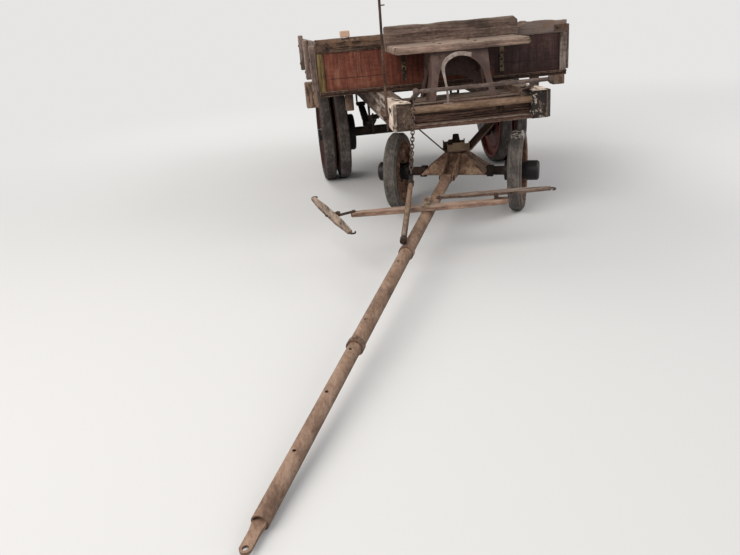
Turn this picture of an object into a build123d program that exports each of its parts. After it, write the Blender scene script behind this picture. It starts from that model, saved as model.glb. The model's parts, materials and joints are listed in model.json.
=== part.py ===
from build123d import *
from math import asin, atan2, cos, degrees, hypot, radians, tan
import os

# Farm hay wagon: a shallow board box on a sprung rear axle with twin solid tyres, a driver's seat
# on the open platform in front, and a small steered truck with its draw pole resting on the ground.
# Millimetres. The wagon faces -Y, its left is +X, Z is up, and the ground is Z = 0.
# While it is built, Y = 0 is 150 mm ahead of the rear axle. At the end everything moves so that the
# origin is under the middle of the whole wagon.

# Running gear
KING_FORWARD = 1350.0
REAR_AXLE_BACK = 150.0
STEER_TURN = -24.3
SEAT_GAP = 0.3
RUN_GAP = 6.0
PIN_FIT = 0.4

# Rear wheels, each a pair of solid tyres on pressed discs
REAR_RADIUS = 420.0
REAR_TYRE_WIDTH = 98.0
REAR_TYRE_THICK = 48.0
REAR_TWIN_GAP = 45.0
REAR_TRACK = 1650.0
RIM_THICK = 12.0
RIM_EDGE = 6.0
DISC_THICK = 10.0
DISC_SET_IN = 32.0
DISC_BEAD_RADIUS = 265.0
DISC_BEAD_RISE = 9.0
HAND_HOLE_RADIUS = 36.0
HAND_HOLE_CIRCLE = 190.0
HAND_HOLES = 3
REAR_HUB_RADIUS = 92.0
REAR_HUB_CAP_RADIUS = 58.0
REAR_HUB_CAP_OUT = 22.0
DRUM_RADIUS = 168.0
DRUM_WIDTH = 82.0
REAR_AXLE_SIZE = 76.0
REAR_SPINDLE_RADIUS = 34.0

# Front wheels, spoked, on a truck that turns about the king bolt
FRONT_RADIUS = 300.0
FRONT_TYRE_WIDTH = 100.0
FRONT_TYRE_THICK = 44.0
FRONT_TRACK = 930.0
SPOKES = 12
SPOKE_ROOT = (38.0, 30.0)
SPOKE_TIP = (28.0, 22.0)
FELLOE_THICK = 26.0
FRONT_HUB_RADIUS = 66.0
FRONT_HUB_LENGTH = 190.0
FRONT_HUB_FLANGE = 92.0
FRONT_CAP_RADIUS = 74.0
FRONT_CAP_OUT = 62.0
FRONT_AXLE_SIZE = 58.0
FRONT_SPINDLE_RADIUS = 26.0

# Frame of the wagon
SILL_OUT = 545.0
SILL_WIDTH = 120.0
SILL_BOTTOM = 730.0
SILL_TOP = 915.0
SILL_FRONT = -1850.0
SILL_REAR = 1300.0
BEAM_TOP = 870.0
LEDGE_TOP = 765.0
FRONT_BEAM_FROM = -1790.0
FRONT_BEAM_DEEP = 100.0
BOLSTER_DEEP = 250.0
SEAT_BEAM_Y = -1560.0
SEAT_BEAM_DEEP = 80.0
REAR_BEAMS_Y = (300.0, 1180.0)
REAR_BEAM_DEEP = 110.0

# Box of the wagon
BODY_HALF = 980.0
BODY_FRONT = -1050.0
BODY_LENGTH = 2450.0
CROSS_SILL_TALL = 70.0
CROSS_SILL_DEEP = 90.0
CROSS_SILLS_Y = (-970.0, -750.0, -320.0, 320.0, 750.0, 1345.0)
FLOOR_THICK = 25.0
FLOOR_BOARDS = 8
FLOOR_GAP = 3.0
BOARD_THICK = 25.0
SIDE_BOTTOM = 950.0
SIDE_TOP_FRONT = 1318.0
SIDE_TOP_REAR = 1242.0
TAIL_TOP = 1212.0
RAIL_TOP = 950.0
PANEL_TOP = 1232.0
TOP_BOARD_TOP = 1334.0
FRAME_DEEP = 45.0
POST_WIDE = 50.0
MUNTINS_X = (-317.0, 460.0)
STAKES_Y = (-960.0, 40.0, 1080.0)
STAKE_DEEP = 78.0
STAKE_THICK = 48.0
STAKE_TOP = 1290.0
POCKET_Y = -750.0
POCKET = (100.0, 96.0, 200.0)
POCKET_Z = 905.0
HUNG_BLOCK = (64.0, 60.0, 132.0)
HUNG_BLOCK_X = 753.0
TOP_BLOCK_X = -752.0
TOP_BLOCK = (72.0, 40.0, 48.0)

# Seat and foot rest
SEAT_SPAN = (-455.0, 527.0)
SEAT_BOTTOM = 1205.0
SEAT_THICK = 50.0
SEAT_FROM = -1520.0
SEAT_DEEP = 370.0
BACK_TOP = 1390.0
BACK_THICK = 40.0
BACK_SPAN = (-470.0, 557.0)
FOOT_BAR_RADIUS = 23.5
FOOT_BAR_Z = 862.0
HAND_BAR_RADIUS = 13.5
HAND_BAR_Y = -2035.0
HAND_BAR_Z = 1012.0
HAND_BAR_SPAN = (-425.0, 480.0)
HAND_KNOB = (21.0, 26.0)

# Draw pole, evener and singletrees
PIN_FORWARD = 400.0
PIN_Z = 345.0
PIN_RADIUS = 11.0
SLEEVE_RADIUS = 37.5
SLEEVE_FROM = 45.0
SLEEVE_TO = 2240.0
SLEEVE_LAP = 380.0
SLEEVE_SPARE = 20.0
PIPE_RADIUS = 32.5
PIPE_TO = 3330.0
PIPE_WALL = 6.0
EVENER_AT = 710.0
EVENER_TURN = 14.7
EVENER_HALF = 500.0
EVENER_SHIFT = 20.0
EVENER_THICK = 30.0
EVENER_WIDE = 62.0
TREE_HALF = 350.0
TREE_WIDE = 56.0
TREE_THICK = 20.0

ground_reach = hypot(PIPE_TO, PIPE_RADIUS)
POLE_SLOPE = degrees(asin(PIN_Z / ground_reach) - atan2(PIPE_RADIUS, PIPE_TO))

REAR = Location((0, REAR_AXLE_BACK, 0))
TRUCK = Location((0, -KING_FORWARD, 0), (0, 0, STEER_TURN))
POLE = TRUCK * Location((0, -PIN_FORWARD, PIN_Z), (POLE_SLOPE, 0, 0))
EVENER_SEAT = SLEEVE_RADIUS + SEAT_GAP
EVENER = POLE * Location((0, -EVENER_AT, EVENER_SEAT), (0, 0, EVENER_TURN))

pieces = {}


def keep(name, shape, place=Location()):
    """Put a finished piece in its place on the wagon and list it by its name."""
    pieces[name] = shape.moved(place)


def timber(low, high, ease=4.0):
    """A sawn timber between two corners, with its edges eased by wear."""
    middle = tuple((a + b) / 2 for a, b in zip(low, high))
    size = [b - a for a, b in zip(low, high)]
    with BuildPart() as wood:
        with Locations(middle):
            Box(*size)
        chamfer(wood.edges(), ease)
    return wood.part


def bar_sides(route):
    """Both sides of a flat bar along a route of places, each with its thickness, mitred at bends."""
    left = []
    right = []
    for i, (x, y, thick) in enumerate(route):
        before = route[max(i - 1, 0)]
        after = route[min(i + 1, len(route) - 1)]
        turns = []
        for start, end in ((before, (x, y)), ((x, y), after)):
            run = hypot(end[0] - start[0], end[1] - start[1])
            if run > 0:
                turns.append(((start[1] - end[1]) / run, (end[0] - start[0]) / run))
        across = (turns[0][0] + turns[-1][0], turns[0][1] + turns[-1][1])
        reach = thick / (across[0] ** 2 + across[1] ** 2)
        left.append((x + across[0] * reach, y + across[1] * reach))
        right.append((x - across[0] * reach, y - across[1] * reach))
    return left, right


def bar_outline(route, thick):
    """The closed outline of a flat bar bent along a route of 2-D points."""
    left, right = bar_sides([(x, y, thick) for x, y in route])
    return left + right[::-1]


def bent_bar(plane, route, thick, wide):
    """A flat bar bent in a plane, as wide as given, to both sides of the plane."""
    with BuildPart() as bar:
        with BuildSketch(plane):
            with BuildLine():
                Polyline(*bar_outline(route, thick), close=True)
            make_face()
        extrude(amount=wide / 2, both=True)
    return bar.part


def turned(outline):
    """A body turned about the X axis, from an outline of places along X and radii."""
    with BuildPart() as body:
        with BuildSketch(Plane.XZ):
            with BuildLine():
                Polyline(*outline, close=True)
            make_face()
        revolve(axis=Axis.X)
    return body.part


# Frame: two long sills, the beams between them and their corner irons
sill_in = SILL_OUT - SILL_WIDTH
ledge_low = SILL_BOTTOM + 5


def frame_timbers():
    """Sills, front beam with its ledge, seat beam, bolster over the king bolt and rear beams."""
    for name, side in (("sill_right", -1), ("sill_left", 1)):
        edges_x = sorted((side * sill_in, side * SILL_OUT))
        low = (edges_x[0], SILL_FRONT, SILL_BOTTOM)
        keep(name, timber(low, (edges_x[1], SILL_REAR, SILL_TOP), 6))
    front_to = FRONT_BEAM_FROM + FRONT_BEAM_DEEP
    with BuildPart() as beam:
        with BuildSketch(Plane.YZ):
            with BuildLine():
                Polyline(
                    (FRONT_BEAM_FROM, LEDGE_TOP),
                    (front_to, LEDGE_TOP),
                    (front_to, BEAM_TOP),
                    (FRONT_BEAM_FROM + 12, BEAM_TOP),
                    (FRONT_BEAM_FROM, BEAM_TOP - 12),
                    close=True,
                )
            make_face()
        extrude(amount=sill_in, both=True)
    keep("front_beam", beam.part)
    ledge_high = (sill_in, front_to, LEDGE_TOP)
    keep("ledge_plank", timber((-sill_in, SILL_FRONT - 6, ledge_low), ledge_high))
    with BuildPart() as beams:
        with Locations((0, -KING_FORWARD, (ledge_low + BEAM_TOP) / 2)):
            Box(2 * sill_in, BOLSTER_DEEP, BEAM_TOP - ledge_low)
        with Locations((0, SEAT_BEAM_Y, (ledge_low + BEAM_TOP) / 2)):
            Box(2 * sill_in, SEAT_BEAM_DEEP, BEAM_TOP - ledge_low)
        for y in REAR_BEAMS_Y:
            with Locations((0, y, (ledge_low + BEAM_TOP) / 2)):
                Box(2 * sill_in, REAR_BEAM_DEEP, BEAM_TOP - ledge_low)
    keep("cross_beams", beams.part)


IRON = 6.0
CORNER_LONG = 345.0
CORNER_TAIL = 48.0
CORNER_HOLES = ((62.0, 66.0), (160.0, 54.0), (258.0, 42.0))
CORNER_HOLE = (50.0, 22.0)
FLANGE_LONG = 240.0
FLANGE_SLOT = (100.0, 32.0)
FLANGE_SLOT_AT = (130.0, 50.0)
FLANGE_HOLE_AT = (120.0, 45.0)
BOLT_HOLE = 9.0
FRONT_LIP = 18.0


def corner_iron(side):
    """Corner iron on a sill's front end: top plate tapered to the back with three slots, a lip on
    the sill's front and a flange down its outer side with a long slot and a bolt hole."""
    out = side * SILL_OUT
    with BuildPart() as iron:
        with BuildSketch(Plane.XY.offset(SILL_TOP)):
            with BuildLine():
                Polyline(
                    (out, SILL_FRONT - IRON),
                    (side * sill_in, SILL_FRONT - IRON),
                    (side * sill_in, SILL_FRONT + CORNER_TAIL),
                    (side * (SILL_OUT - CORNER_TAIL), SILL_FRONT + CORNER_LONG),
                    (out, SILL_FRONT + CORNER_LONG),
                    close=True,
                )
            make_face()
            for back, inward in CORNER_HOLES:
                with Locations((side * (SILL_OUT - inward), SILL_FRONT + back)):
                    SlotOverall(*CORNER_HOLE, rotation=90, mode=Mode.SUBTRACT)
        extrude(amount=IRON)
        flange_low = SILL_BOTTOM + IRON
        with BuildSketch(Plane.YZ.offset(out)):
            with Locations(
                (SILL_FRONT - IRON + FLANGE_LONG / 2, (flange_low + SILL_TOP + IRON) / 2)
            ):
                Rectangle(FLANGE_LONG, SILL_TOP + IRON - flange_low)
            with Locations((SILL_FRONT + FLANGE_SLOT_AT[0], SILL_TOP - FLANGE_SLOT_AT[1])):
                SlotOverall(*FLANGE_SLOT, mode=Mode.SUBTRACT)
            with Locations((SILL_FRONT + FLANGE_HOLE_AT[0], SILL_BOTTOM + FLANGE_HOLE_AT[1])):
                Circle(BOLT_HOLE, mode=Mode.SUBTRACT)
        extrude(amount=side * IRON)
        with BuildSketch(Plane.XZ.offset(-SILL_FRONT)):
            with Locations((side * (SILL_OUT - FRONT_LIP / 2), (flange_low + SILL_TOP) / 2)):
                Rectangle(FRONT_LIP, SILL_TOP - flange_low)
        extrude(amount=IRON)
    return iron.part


# Chain from the right foot bracket to the stay rod
CHAIN_WIRE = 8.0
CHAIN_PITCH = 24.2
CHAIN_INNER = 24.5
CHAIN_WIDE = 30.0
CHAIN_TOP = Vector(-418.0, -1893.0, 868.0)
CHAIN_AIM = Vector(-498.0, -2104.0, 462.0)
CHAIN_CLEAR_Z = 512.0


def chain_link():
    """One link, long in X and flat in XY, with its wire rounded by chamfers."""
    with BuildPart() as link:
        with BuildSketch():
            SlotOverall(CHAIN_INNER + 2 * CHAIN_WIRE, CHAIN_WIDE)
            SlotOverall(CHAIN_INNER, CHAIN_WIDE - 2 * CHAIN_WIRE, mode=Mode.SUBTRACT)
        extrude(amount=CHAIN_WIRE / 2, both=True)
        chamfer(link.edges(), CHAIN_WIRE * 0.28)
    return link.part


chain_down = (CHAIN_AIM - CHAIN_TOP).normalized()


def placed_link(number):
    """The link that is so many pitches below the chain's first one, turned like its neighbours."""
    across = Vector(0, 0, 1).cross(chain_down).normalized()
    flat = across if number % 2 else across.cross(chain_down)
    centre = CHAIN_TOP + chain_down * (number * CHAIN_PITCH)
    return chain_link().moved(Location(Plane(origin=centre, x_dir=chain_down, z_dir=flat)))


def stay_chain():
    """The links that hang from the bracket, down to where they clear the raised stay rod."""
    count = int((CHAIN_TOP.Z - CHAIN_CLEAR_Z) / (-chain_down.Z * CHAIN_PITCH))
    return Compound(children=[placed_link(number) for number in range(count)])


# Foot rest in front of the platform
def foot_rest():
    """Two flat brackets from the sills, the round bar between the sills and the thin bar ahead."""
    arm_foot = FRONT_BEAM_FROM + 45
    arm_rise = [(arm_foot, BEAM_TOP + 4), (arm_foot, BEAM_TOP + 45), (HAND_BAR_Y, HAND_BAR_Z)]
    with BuildPart() as arms:
        for side in (-1, 1):
            with BuildSketch(Plane.YZ.offset(side * (sill_in - 20))):
                with BuildLine():
                    Polyline(*bar_outline(arm_rise, 9), close=True)
                make_face()
                with Locations((arm_foot + 20, BEAM_TOP + 18)):
                    Rectangle(49, 36)
            extrude(amount=20, both=True)
        bar_left, bar_right = HAND_BAR_SPAN
        with Locations(Location(((bar_left + bar_right) / 2, HAND_BAR_Y, HAND_BAR_Z), (0, 90, 0))):
            Cylinder(HAND_BAR_RADIUS, bar_right - bar_left)
        for x in HAND_BAR_SPAN:
            with Locations(Location((x, HAND_BAR_Y, HAND_BAR_Z), (0, 90, 0))):
                Cylinder(*HAND_KNOB)
        add(placed_link(-1))
        stem = CHAIN_TOP - chain_down * (CHAIN_PITCH + (CHAIN_INNER + CHAIN_WIRE) / 2)
        arm_slope = (HAND_BAR_Z - BEAM_TOP - 45) / (arm_foot - HAND_BAR_Y)
        arm_z = BEAM_TOP + 45 + (arm_foot - stem.Y) * arm_slope
        with Locations((stem.X, stem.Y, (stem.Z + arm_z) / 2)):
            Cylinder(CHAIN_WIRE / 2, arm_z - stem.Z)
    keep("foot_rail", arms.part)
    with BuildPart() as bar:
        bar_y = SILL_FRONT + FOOT_BAR_RADIUS + 4
        with Locations(Location((0, bar_y, FOOT_BAR_Z), (0, 90, 0))):
            Cylinder(FOOT_BAR_RADIUS, 2 * sill_in)
    keep("foot_bar", bar.part)


# Driver's seat
PEDESTAL_X = 14.0
PEDESTAL_TOP_HALF = 209.0
PEDESTAL_NECK_HALF = 214.0
PEDESTAL_FOOT_HALF = 250.0
PEDESTAL_NECK_Z = 1030.0
PEDESTAL_WALL = 12.0
PEDESTAL_TOP_Y = (-1480.0, -1230.0)
PEDESTAL_FOOT_Y = (-1560.0, -1230.0)
ARCH_FOOT_HALF = 205.0
ARCH_HALF = 160.0
FRONT_ARCH = (1165.0, 110.0)
REAR_ARCH = (1010.0, 50.0)
SIDE_SLOT_HALF = (80.0, 40.0)
SIDE_SLOT_TOP = (1100.0, 45.0)


def pedestal_block(inset):
    """The casting's outside, or its inside when inset by a wall."""
    share = (PEDESTAL_NECK_Z - BEAM_TOP) / (SEAT_BOTTOM - BEAM_TOP)
    with BuildPart() as block:
        for z, half, at in (
            (BEAM_TOP, PEDESTAL_FOOT_HALF, 0.0),
            (PEDESTAL_NECK_Z, PEDESTAL_NECK_HALF, share),
            (SEAT_BOTTOM, PEDESTAL_TOP_HALF, 1.0),
        ):
            front, rear = [a + (b - a) * at for a, b in zip(PEDESTAL_FOOT_Y, PEDESTAL_TOP_Y)]
            level = z - (inset if at == 1.0 else 0)
            with BuildSketch(Plane.XY.offset(level)):
                with Locations((PEDESTAL_X, (front + rear) / 2)):
                    Rectangle(2 * (half - inset), rear - front - 2 * inset)
        loft(ruled=True)
    return block.part


def arch_outline(middle, foot_half, half, top, rise):
    """A hole that stands on the beams and narrows upwards to an arched top."""
    foot = Line((middle - foot_half, BEAM_TOP), (middle + foot_half, BEAM_TOP))
    side = Line(foot @ 1, (middle + half, top - rise))
    arc = ThreePointArc(side @ 1, (middle, top), (middle - half, top - rise))
    Line(arc @ 1, foot @ 0)


def seat_pedestal():
    """Hollow cast pedestal on four flared legs: a tall arch in front, a low one behind and a slot
    each side."""
    middle_y = (PEDESTAL_FOOT_Y[0] + PEDESTAL_FOOT_Y[1]) / 2
    slot_y = (PEDESTAL_TOP_Y[0] + PEDESTAL_TOP_Y[1]) / 2
    deep = PEDESTAL_FOOT_Y[1] - PEDESTAL_FOOT_Y[0]
    with BuildPart() as casting:
        add(pedestal_block(0))
        add(pedestal_block(PEDESTAL_WALL), mode=Mode.SUBTRACT)
        for arch, way in ((FRONT_ARCH, 1), (REAR_ARCH, -1)):
            with BuildSketch(Plane.XZ.offset(-middle_y)):
                with BuildLine():
                    arch_outline(PEDESTAL_X, ARCH_FOOT_HALF, ARCH_HALF, *arch)
                make_face()
            extrude(amount=way * deep, mode=Mode.SUBTRACT)
        with BuildSketch(Plane.YZ):
            with BuildLine():
                arch_outline(slot_y, *SIDE_SLOT_HALF, *SIDE_SLOT_TOP)
            make_face()
        extrude(amount=2 * PEDESTAL_FOOT_HALF, both=True, mode=Mode.SUBTRACT)
    return casting.part


def seat_boards():
    """Thick seat plank and the back board nailed to its rear edge, one top corner sawn off."""
    seat_to = SEAT_FROM + SEAT_DEEP
    low = (SEAT_SPAN[0], SEAT_FROM, SEAT_BOTTOM)
    keep("seat_board", timber(low, (SEAT_SPAN[1], seat_to, SEAT_BOTTOM + SEAT_THICK), 5))
    left, right = BACK_SPAN
    with BuildPart() as back:
        with BuildSketch(Plane.XZ.offset(-seat_to)):
            with BuildLine():
                Polyline(
                    (left, SEAT_BOTTOM),
                    (right, SEAT_BOTTOM),
                    (right, BACK_TOP - 30),
                    (right - 24, BACK_TOP),
                    (left + 6, BACK_TOP),
                    (left, BACK_TOP - 6),
                    close=True,
                )
            make_face()
        extrude(amount=-BACK_THICK)
        chamfer(back.faces().sort_by(Axis.Z)[-1].edges().filter_by(Axis.X), 5)
    keep("seat_back", back.part)


LEVER_Y = FRONT_BEAM_FROM + 50
LEVER_DEEP = 14.0
LEVER_FOOT_Z = BEAM_TOP - 2 * SEAT_GAP
LEVER_ROUTE = (
    (-143.0, LEVER_FOOT_Z, 13.0),
    (-151.0, 998.0, 13.0),
    (-161.0, 1055.0, 15.0),
    (-168.0, 1105.0, 20.0),
    (-154.0, 1152.0, 24.0),
    (-114.0, 1184.0, 26.0),
    (-70.0, 1199.0, 26.0),
    (-31.0, 1199.0, 26.0),
    (30.0, 1187.0, 26.0),
)
LEVER_PLATE = (60.0, 46.0, 8.0)


def foot_lever():
    """Flat bar that rises from a small plate on the front beam and curls over like a crook."""
    left, right = bar_sides(LEVER_ROUTE)
    with BuildPart() as lever:
        with BuildSketch(Plane.XZ.offset(-LEVER_Y)):
            with BuildLine():
                outer = Spline(*left)
                inner = Spline(*right)
                Line(outer @ 0, inner @ 0)
                Line(outer @ 1, inner @ 1)
            make_face()
        extrude(amount=LEVER_DEEP / 2, both=True)
        with Locations((LEVER_ROUTE[0][0], LEVER_Y, BEAM_TOP + LEVER_PLATE[2] / 2)):
            Box(*LEVER_PLATE)
        with Locations((LEVER_ROUTE[0][0], LEVER_Y, BEAM_TOP - LEVER_PLATE[2])):
            Box(*[2 * size for size in LEVER_PLATE[:2]], 2 * LEVER_PLATE[2], mode=Mode.SUBTRACT)
    return lever.part


# Brake lever on the right sill, its shaft and the hanging eye
BRAKE_ROD_RADIUS = 9.0
BRAKE_Y = -1640.0
BRAKE_Z = 800.0
BRAKE_TOP = 1700.0
BRAKE_FOOT = 705.0
BRAKE_PLATE = 8.0
brake_wall = SILL_OUT + IRON
brake_x = -(brake_wall + RUN_GAP + BRAKE_PLATE / 2)


def brake_lever():
    """Tall round rod with a flattened foot on a pivot bolt in the sill's outer side."""
    with BuildPart() as lever:
        with BuildSketch(Plane.YZ.offset(brake_x)):
            with Locations((BRAKE_Y, (BRAKE_FOOT + BRAKE_Z + 60) / 2)):
                SlotOverall(BRAKE_Z + 60 - BRAKE_FOOT, 38, rotation=90)
            with Locations((BRAKE_Y, BRAKE_Z)):
                Circle(10.5, mode=Mode.SUBTRACT)
        extrude(amount=BRAKE_PLATE / 2, both=True)
        with Locations((brake_x, BRAKE_Y, (BRAKE_Z + 35 + BRAKE_TOP) / 2)):
            Cylinder(BRAKE_ROD_RADIUS, BRAKE_TOP - BRAKE_Z - 35)
        with Locations(Location((brake_x + 14, BRAKE_Y, 1545), (0, 90, 0))):
            Cylinder(4, 40)
    return lever.part


def brake_bolt():
    """Pivot bolt of the brake lever, with its head outside."""
    head_from = brake_wall + 2 * RUN_GAP + BRAKE_PLATE
    with BuildPart() as bolt:
        with Locations(Location((-(brake_wall + head_from) / 2, BRAKE_Y, BRAKE_Z), (0, 90, 0))):
            Cylinder(10, head_from - brake_wall)
        with BuildSketch(Plane.YZ.offset(-head_from)):
            with Locations((BRAKE_Y, BRAKE_Z)):
                RegularPolygon(17, 6)
        extrude(amount=-12)
        with Locations(Location((-brake_wall - RUN_GAP / 2 + 0.2, BRAKE_Y, BRAKE_Z), (0, 90, 0))):
            Cylinder(16, RUN_GAP - 0.4)
    return bolt.part


SHAFT_Y = -640.0
SHAFT_Z = 668.0
SHAFT_RADIUS = 16.0


def brake_gear():
    """Cross shaft under the sills with two arms, hung in two eyes, and a drop eye on the right."""
    with BuildPart() as gear:
        with Locations(Location((0, SHAFT_Y, SHAFT_Z), (0, 90, 0))):
            Cylinder(SHAFT_RADIUS, 2 * SILL_OUT)
        for x in (-sill_in - 30, sill_in + 30):
            with BuildSketch(Plane.YZ.offset(x)):
                with Locations((SHAFT_Y, (SHAFT_Z + SILL_BOTTOM) / 2 - 8)):
                    Rectangle(58, SILL_BOTTOM - SHAFT_Z + 16)
                with Locations((SHAFT_Y, SHAFT_Z)):
                    Circle(29)
            extrude(amount=9, both=True)
        for x in (-SILL_OUT + 12, SILL_OUT - 12):
            with BuildSketch(Plane.YZ.offset(x)):
                with Locations((SHAFT_Y, SHAFT_Z - 62)):
                    SlotOverall(178, 36, rotation=90)
                with Locations((SHAFT_Y, SHAFT_Z - 132)):
                    Circle(8, mode=Mode.SUBTRACT)
            extrude(amount=6, both=True)
    return gear.part


# Rear axle and its springs
SPRING_X = (SILL_OUT + sill_in) / 2
SPRING_HALF = 470.0
SPRING_WIDE = 64.0
LEAF_THICK = 9.0
LEAVES = 5
LEAF_BITE = 0.6
SPRING_RISE = 92.0
axle_top = REAR_RADIUS + REAR_AXLE_SIZE / 2


def rear_axle():
    """Square axle bed with turned spindles that end inside the hubs."""
    inner_face = REAR_TRACK / 2 - REAR_TYRE_WIDTH - REAR_TWIN_GAP / 2 - DRUM_WIDTH
    spindle_end = REAR_TRACK / 2 + REAR_TYRE_WIDTH + REAR_TWIN_GAP / 2
    with BuildPart() as axle:
        with Locations((0, 0, REAR_RADIUS)):
            Box(2 * (inner_face - RUN_GAP), REAR_AXLE_SIZE, REAR_AXLE_SIZE)
        chamfer(axle.edges().filter_by(Axis.X), 8)
        with Locations(Location((0, 0, REAR_RADIUS), (0, 90, 0))):
            Cylinder(REAR_SPINDLE_RADIUS, 2 * (spindle_end - 20))
    return axle.part


def leaf_spring():
    """Pack of arched leaves, each shorter than the one above, with rolled eyes and two clips."""
    bow = (SPRING_HALF**2 + SPRING_RISE**2) / (2 * SPRING_RISE)
    with BuildPart() as pack:
        for leaf in range(LEAVES):
            half = SPRING_HALF * (1 - leaf * 0.17)
            low = axle_top + 14 + (LEAVES - 1 - leaf) * LEAF_THICK
            drop = bow - (bow**2 - half**2) ** 0.5
            high = low + LEAF_THICK + (LEAF_BITE if leaf else 0)
            with BuildSketch(Plane.YZ):
                with BuildLine():
                    under = ThreePointArc((-half, low + drop), (0, low), (half, low + drop))
                    over = ThreePointArc(
                        (half, high + drop),
                        (0, high),
                        (-half, high + drop),
                    )
                    Line(under @ 1, over @ 0)
                    Line(over @ 1, under @ 0)
                make_face()
            extrude(amount=SPRING_WIDE / 2, both=True)
        with Locations((0, 0, axle_top + 9)):
            Box(SPRING_WIDE, 120, 18)
        for y in (-48, 48):
            with Locations((0, y, axle_top + 35)):
                Box(SPRING_WIDE + 22, 16, 70)
        eye_z = axle_top + 14 + LEAVES * LEAF_THICK + SPRING_RISE + 6
        for y in (-SPRING_HALF, SPRING_HALF):
            with Locations(Location((0, y, eye_z), (0, 90, 0))):
                Cylinder(17, SPRING_WIDE)
                Cylinder(9, SPRING_WIDE, mode=Mode.SUBTRACT)
    return pack.part, eye_z


def spring_hangers(eye_z):
    """Forged hangers under the sills, each with a pin through the spring's rolled eye."""
    with BuildPart() as hangers:
        for side in (-1, 1):
            for y in (-SPRING_HALF, SPRING_HALF):
                x = side * SPRING_X
                for cheek in (-1, 1):
                    with BuildSketch(Plane.YZ.offset(x + cheek * (SPRING_WIDE / 2 + 6))):
                        with BuildLine():
                            Polyline(
                                (y - 52, SILL_BOTTOM),
                                (y + 52, SILL_BOTTOM),
                                (y + 18, eye_z - 20),
                                (y - 18, eye_z - 20),
                                close=True,
                            )
                        make_face()
                    extrude(amount=5.7, both=True)
                with Locations((x, y, SILL_BOTTOM - 4)):
                    Box(SPRING_WIDE + 24, 104, 8)
                with Locations(Location((x, y, eye_z), (0, 90, 0))):
                    Cylinder(8.7, SPRING_WIDE + 36)
    return hangers.part


def rear_springs():
    """Both spring packs and their hangers."""
    pack, eye_z = leaf_spring()
    with BuildPart() as both:
        for side in (-1, 1):
            add(pack.moved(Location((side * SPRING_X, 0, 0))))
    keep("rear_springs", both.part, REAR)
    keep("spring_hangers", spring_hangers(eye_z), REAR)


# Rear wheels
pair_shift = (REAR_TYRE_WIDTH + REAR_TWIN_GAP) / 2
rim_outer = REAR_RADIUS - REAR_TYRE_THICK
rim_inner = rim_outer - RIM_THICK
pair_out = pair_shift + REAR_TYRE_WIDTH / 2


def solid_tyre(radius, wide, thick, shoulder):
    """Solid rubber tyre about X, with bevelled shoulders."""
    half = wide / 2
    inner = radius - thick
    return turned(
        [
            (-half, inner),
            (half, inner),
            (half, radius - shoulder),
            (half - shoulder, radius),
            (-half + shoulder, radius),
            (-half, radius - shoulder),
        ]
    )


def rear_tyres():
    """The pair of solid tyres."""
    tyre = solid_tyre(REAR_RADIUS, REAR_TYRE_WIDTH, REAR_TYRE_THICK, 12)
    return Compound(children=[tyre.moved(Location((x, 0, 0))) for x in (-pair_shift, pair_shift)])


def rear_discs():
    """Two rims with pressed discs, a bead round each disc and hand holes, outer side at +X."""
    with BuildPart() as wheel:
        for side in (-1, 1):
            face = side * (pair_out - DISC_SET_IN)
            back = face - side * DISC_THICK
            bead = side * DISC_BEAD_RISE
            add(
                turned(
                    [
                        (side * (pair_out + RIM_EDGE), rim_inner),
                        (side * (pair_out + RIM_EDGE), rim_outer + 5),
                        (side * (pair_out + 1), rim_outer + 5),
                        (side * (pair_out + 1), rim_outer),
                        (side * REAR_TWIN_GAP / 4, rim_outer),
                        (side * REAR_TWIN_GAP / 4, rim_inner),
                        (back, rim_inner),
                        (back, DISC_BEAD_RADIUS + 26),
                        (back + bead, DISC_BEAD_RADIUS + 12),
                        (back + bead, DISC_BEAD_RADIUS - 12),
                        (back, DISC_BEAD_RADIUS - 26),
                        (back, REAR_HUB_RADIUS),
                        (face, REAR_HUB_RADIUS),
                        (face, DISC_BEAD_RADIUS - 26),
                        (face + bead, DISC_BEAD_RADIUS - 12),
                        (face + bead, DISC_BEAD_RADIUS + 12),
                        (face, DISC_BEAD_RADIUS + 26),
                        (face, rim_inner),
                    ]
                )
            )
        with Locations(Location((0, 0, 0), (0, 90, 0))):
            with PolarLocations(HAND_HOLE_CIRCLE, HAND_HOLES, start_angle=35):
                Cylinder(HAND_HOLE_RADIUS, 4 * pair_out, mode=Mode.SUBTRACT)
    return wheel.part


def rear_hub():
    """Hub barrel through both discs, cap outside and brake drum inside."""
    bore = REAR_SPINDLE_RADIUS + PIN_FIT
    drum_from = -pair_out - DRUM_WIDTH
    drum_to = -pair_out + DISC_SET_IN - RIM_EDGE
    cap = pair_out + REAR_HUB_CAP_OUT
    return turned(
        [
            (drum_from, bore),
            (drum_from, DRUM_RADIUS - 10),
            (drum_from + 10, DRUM_RADIUS),
            (-pair_out - 14, DRUM_RADIUS),
            (-pair_out - 14, REAR_HUB_RADIUS + 30),
            (drum_to, REAR_HUB_RADIUS + 30),
            (drum_to, REAR_HUB_RADIUS),
            (pair_out - DISC_SET_IN + 12, REAR_HUB_RADIUS),
            (pair_out - DISC_SET_IN + 12, REAR_HUB_CAP_RADIUS + 8),
            (pair_out - 6, REAR_HUB_CAP_RADIUS),
            (cap - 8, REAR_HUB_CAP_RADIUS),
            (cap, REAR_HUB_CAP_RADIUS - 10),
            (cap, 0),
            (pair_out - 12, 0),
            (pair_out - 12, bore),
        ]
    )


# Front wheels
felloe_outer = FRONT_RADIUS - FRONT_TYRE_THICK
felloe_inner = felloe_outer - FELLOE_THICK


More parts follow.
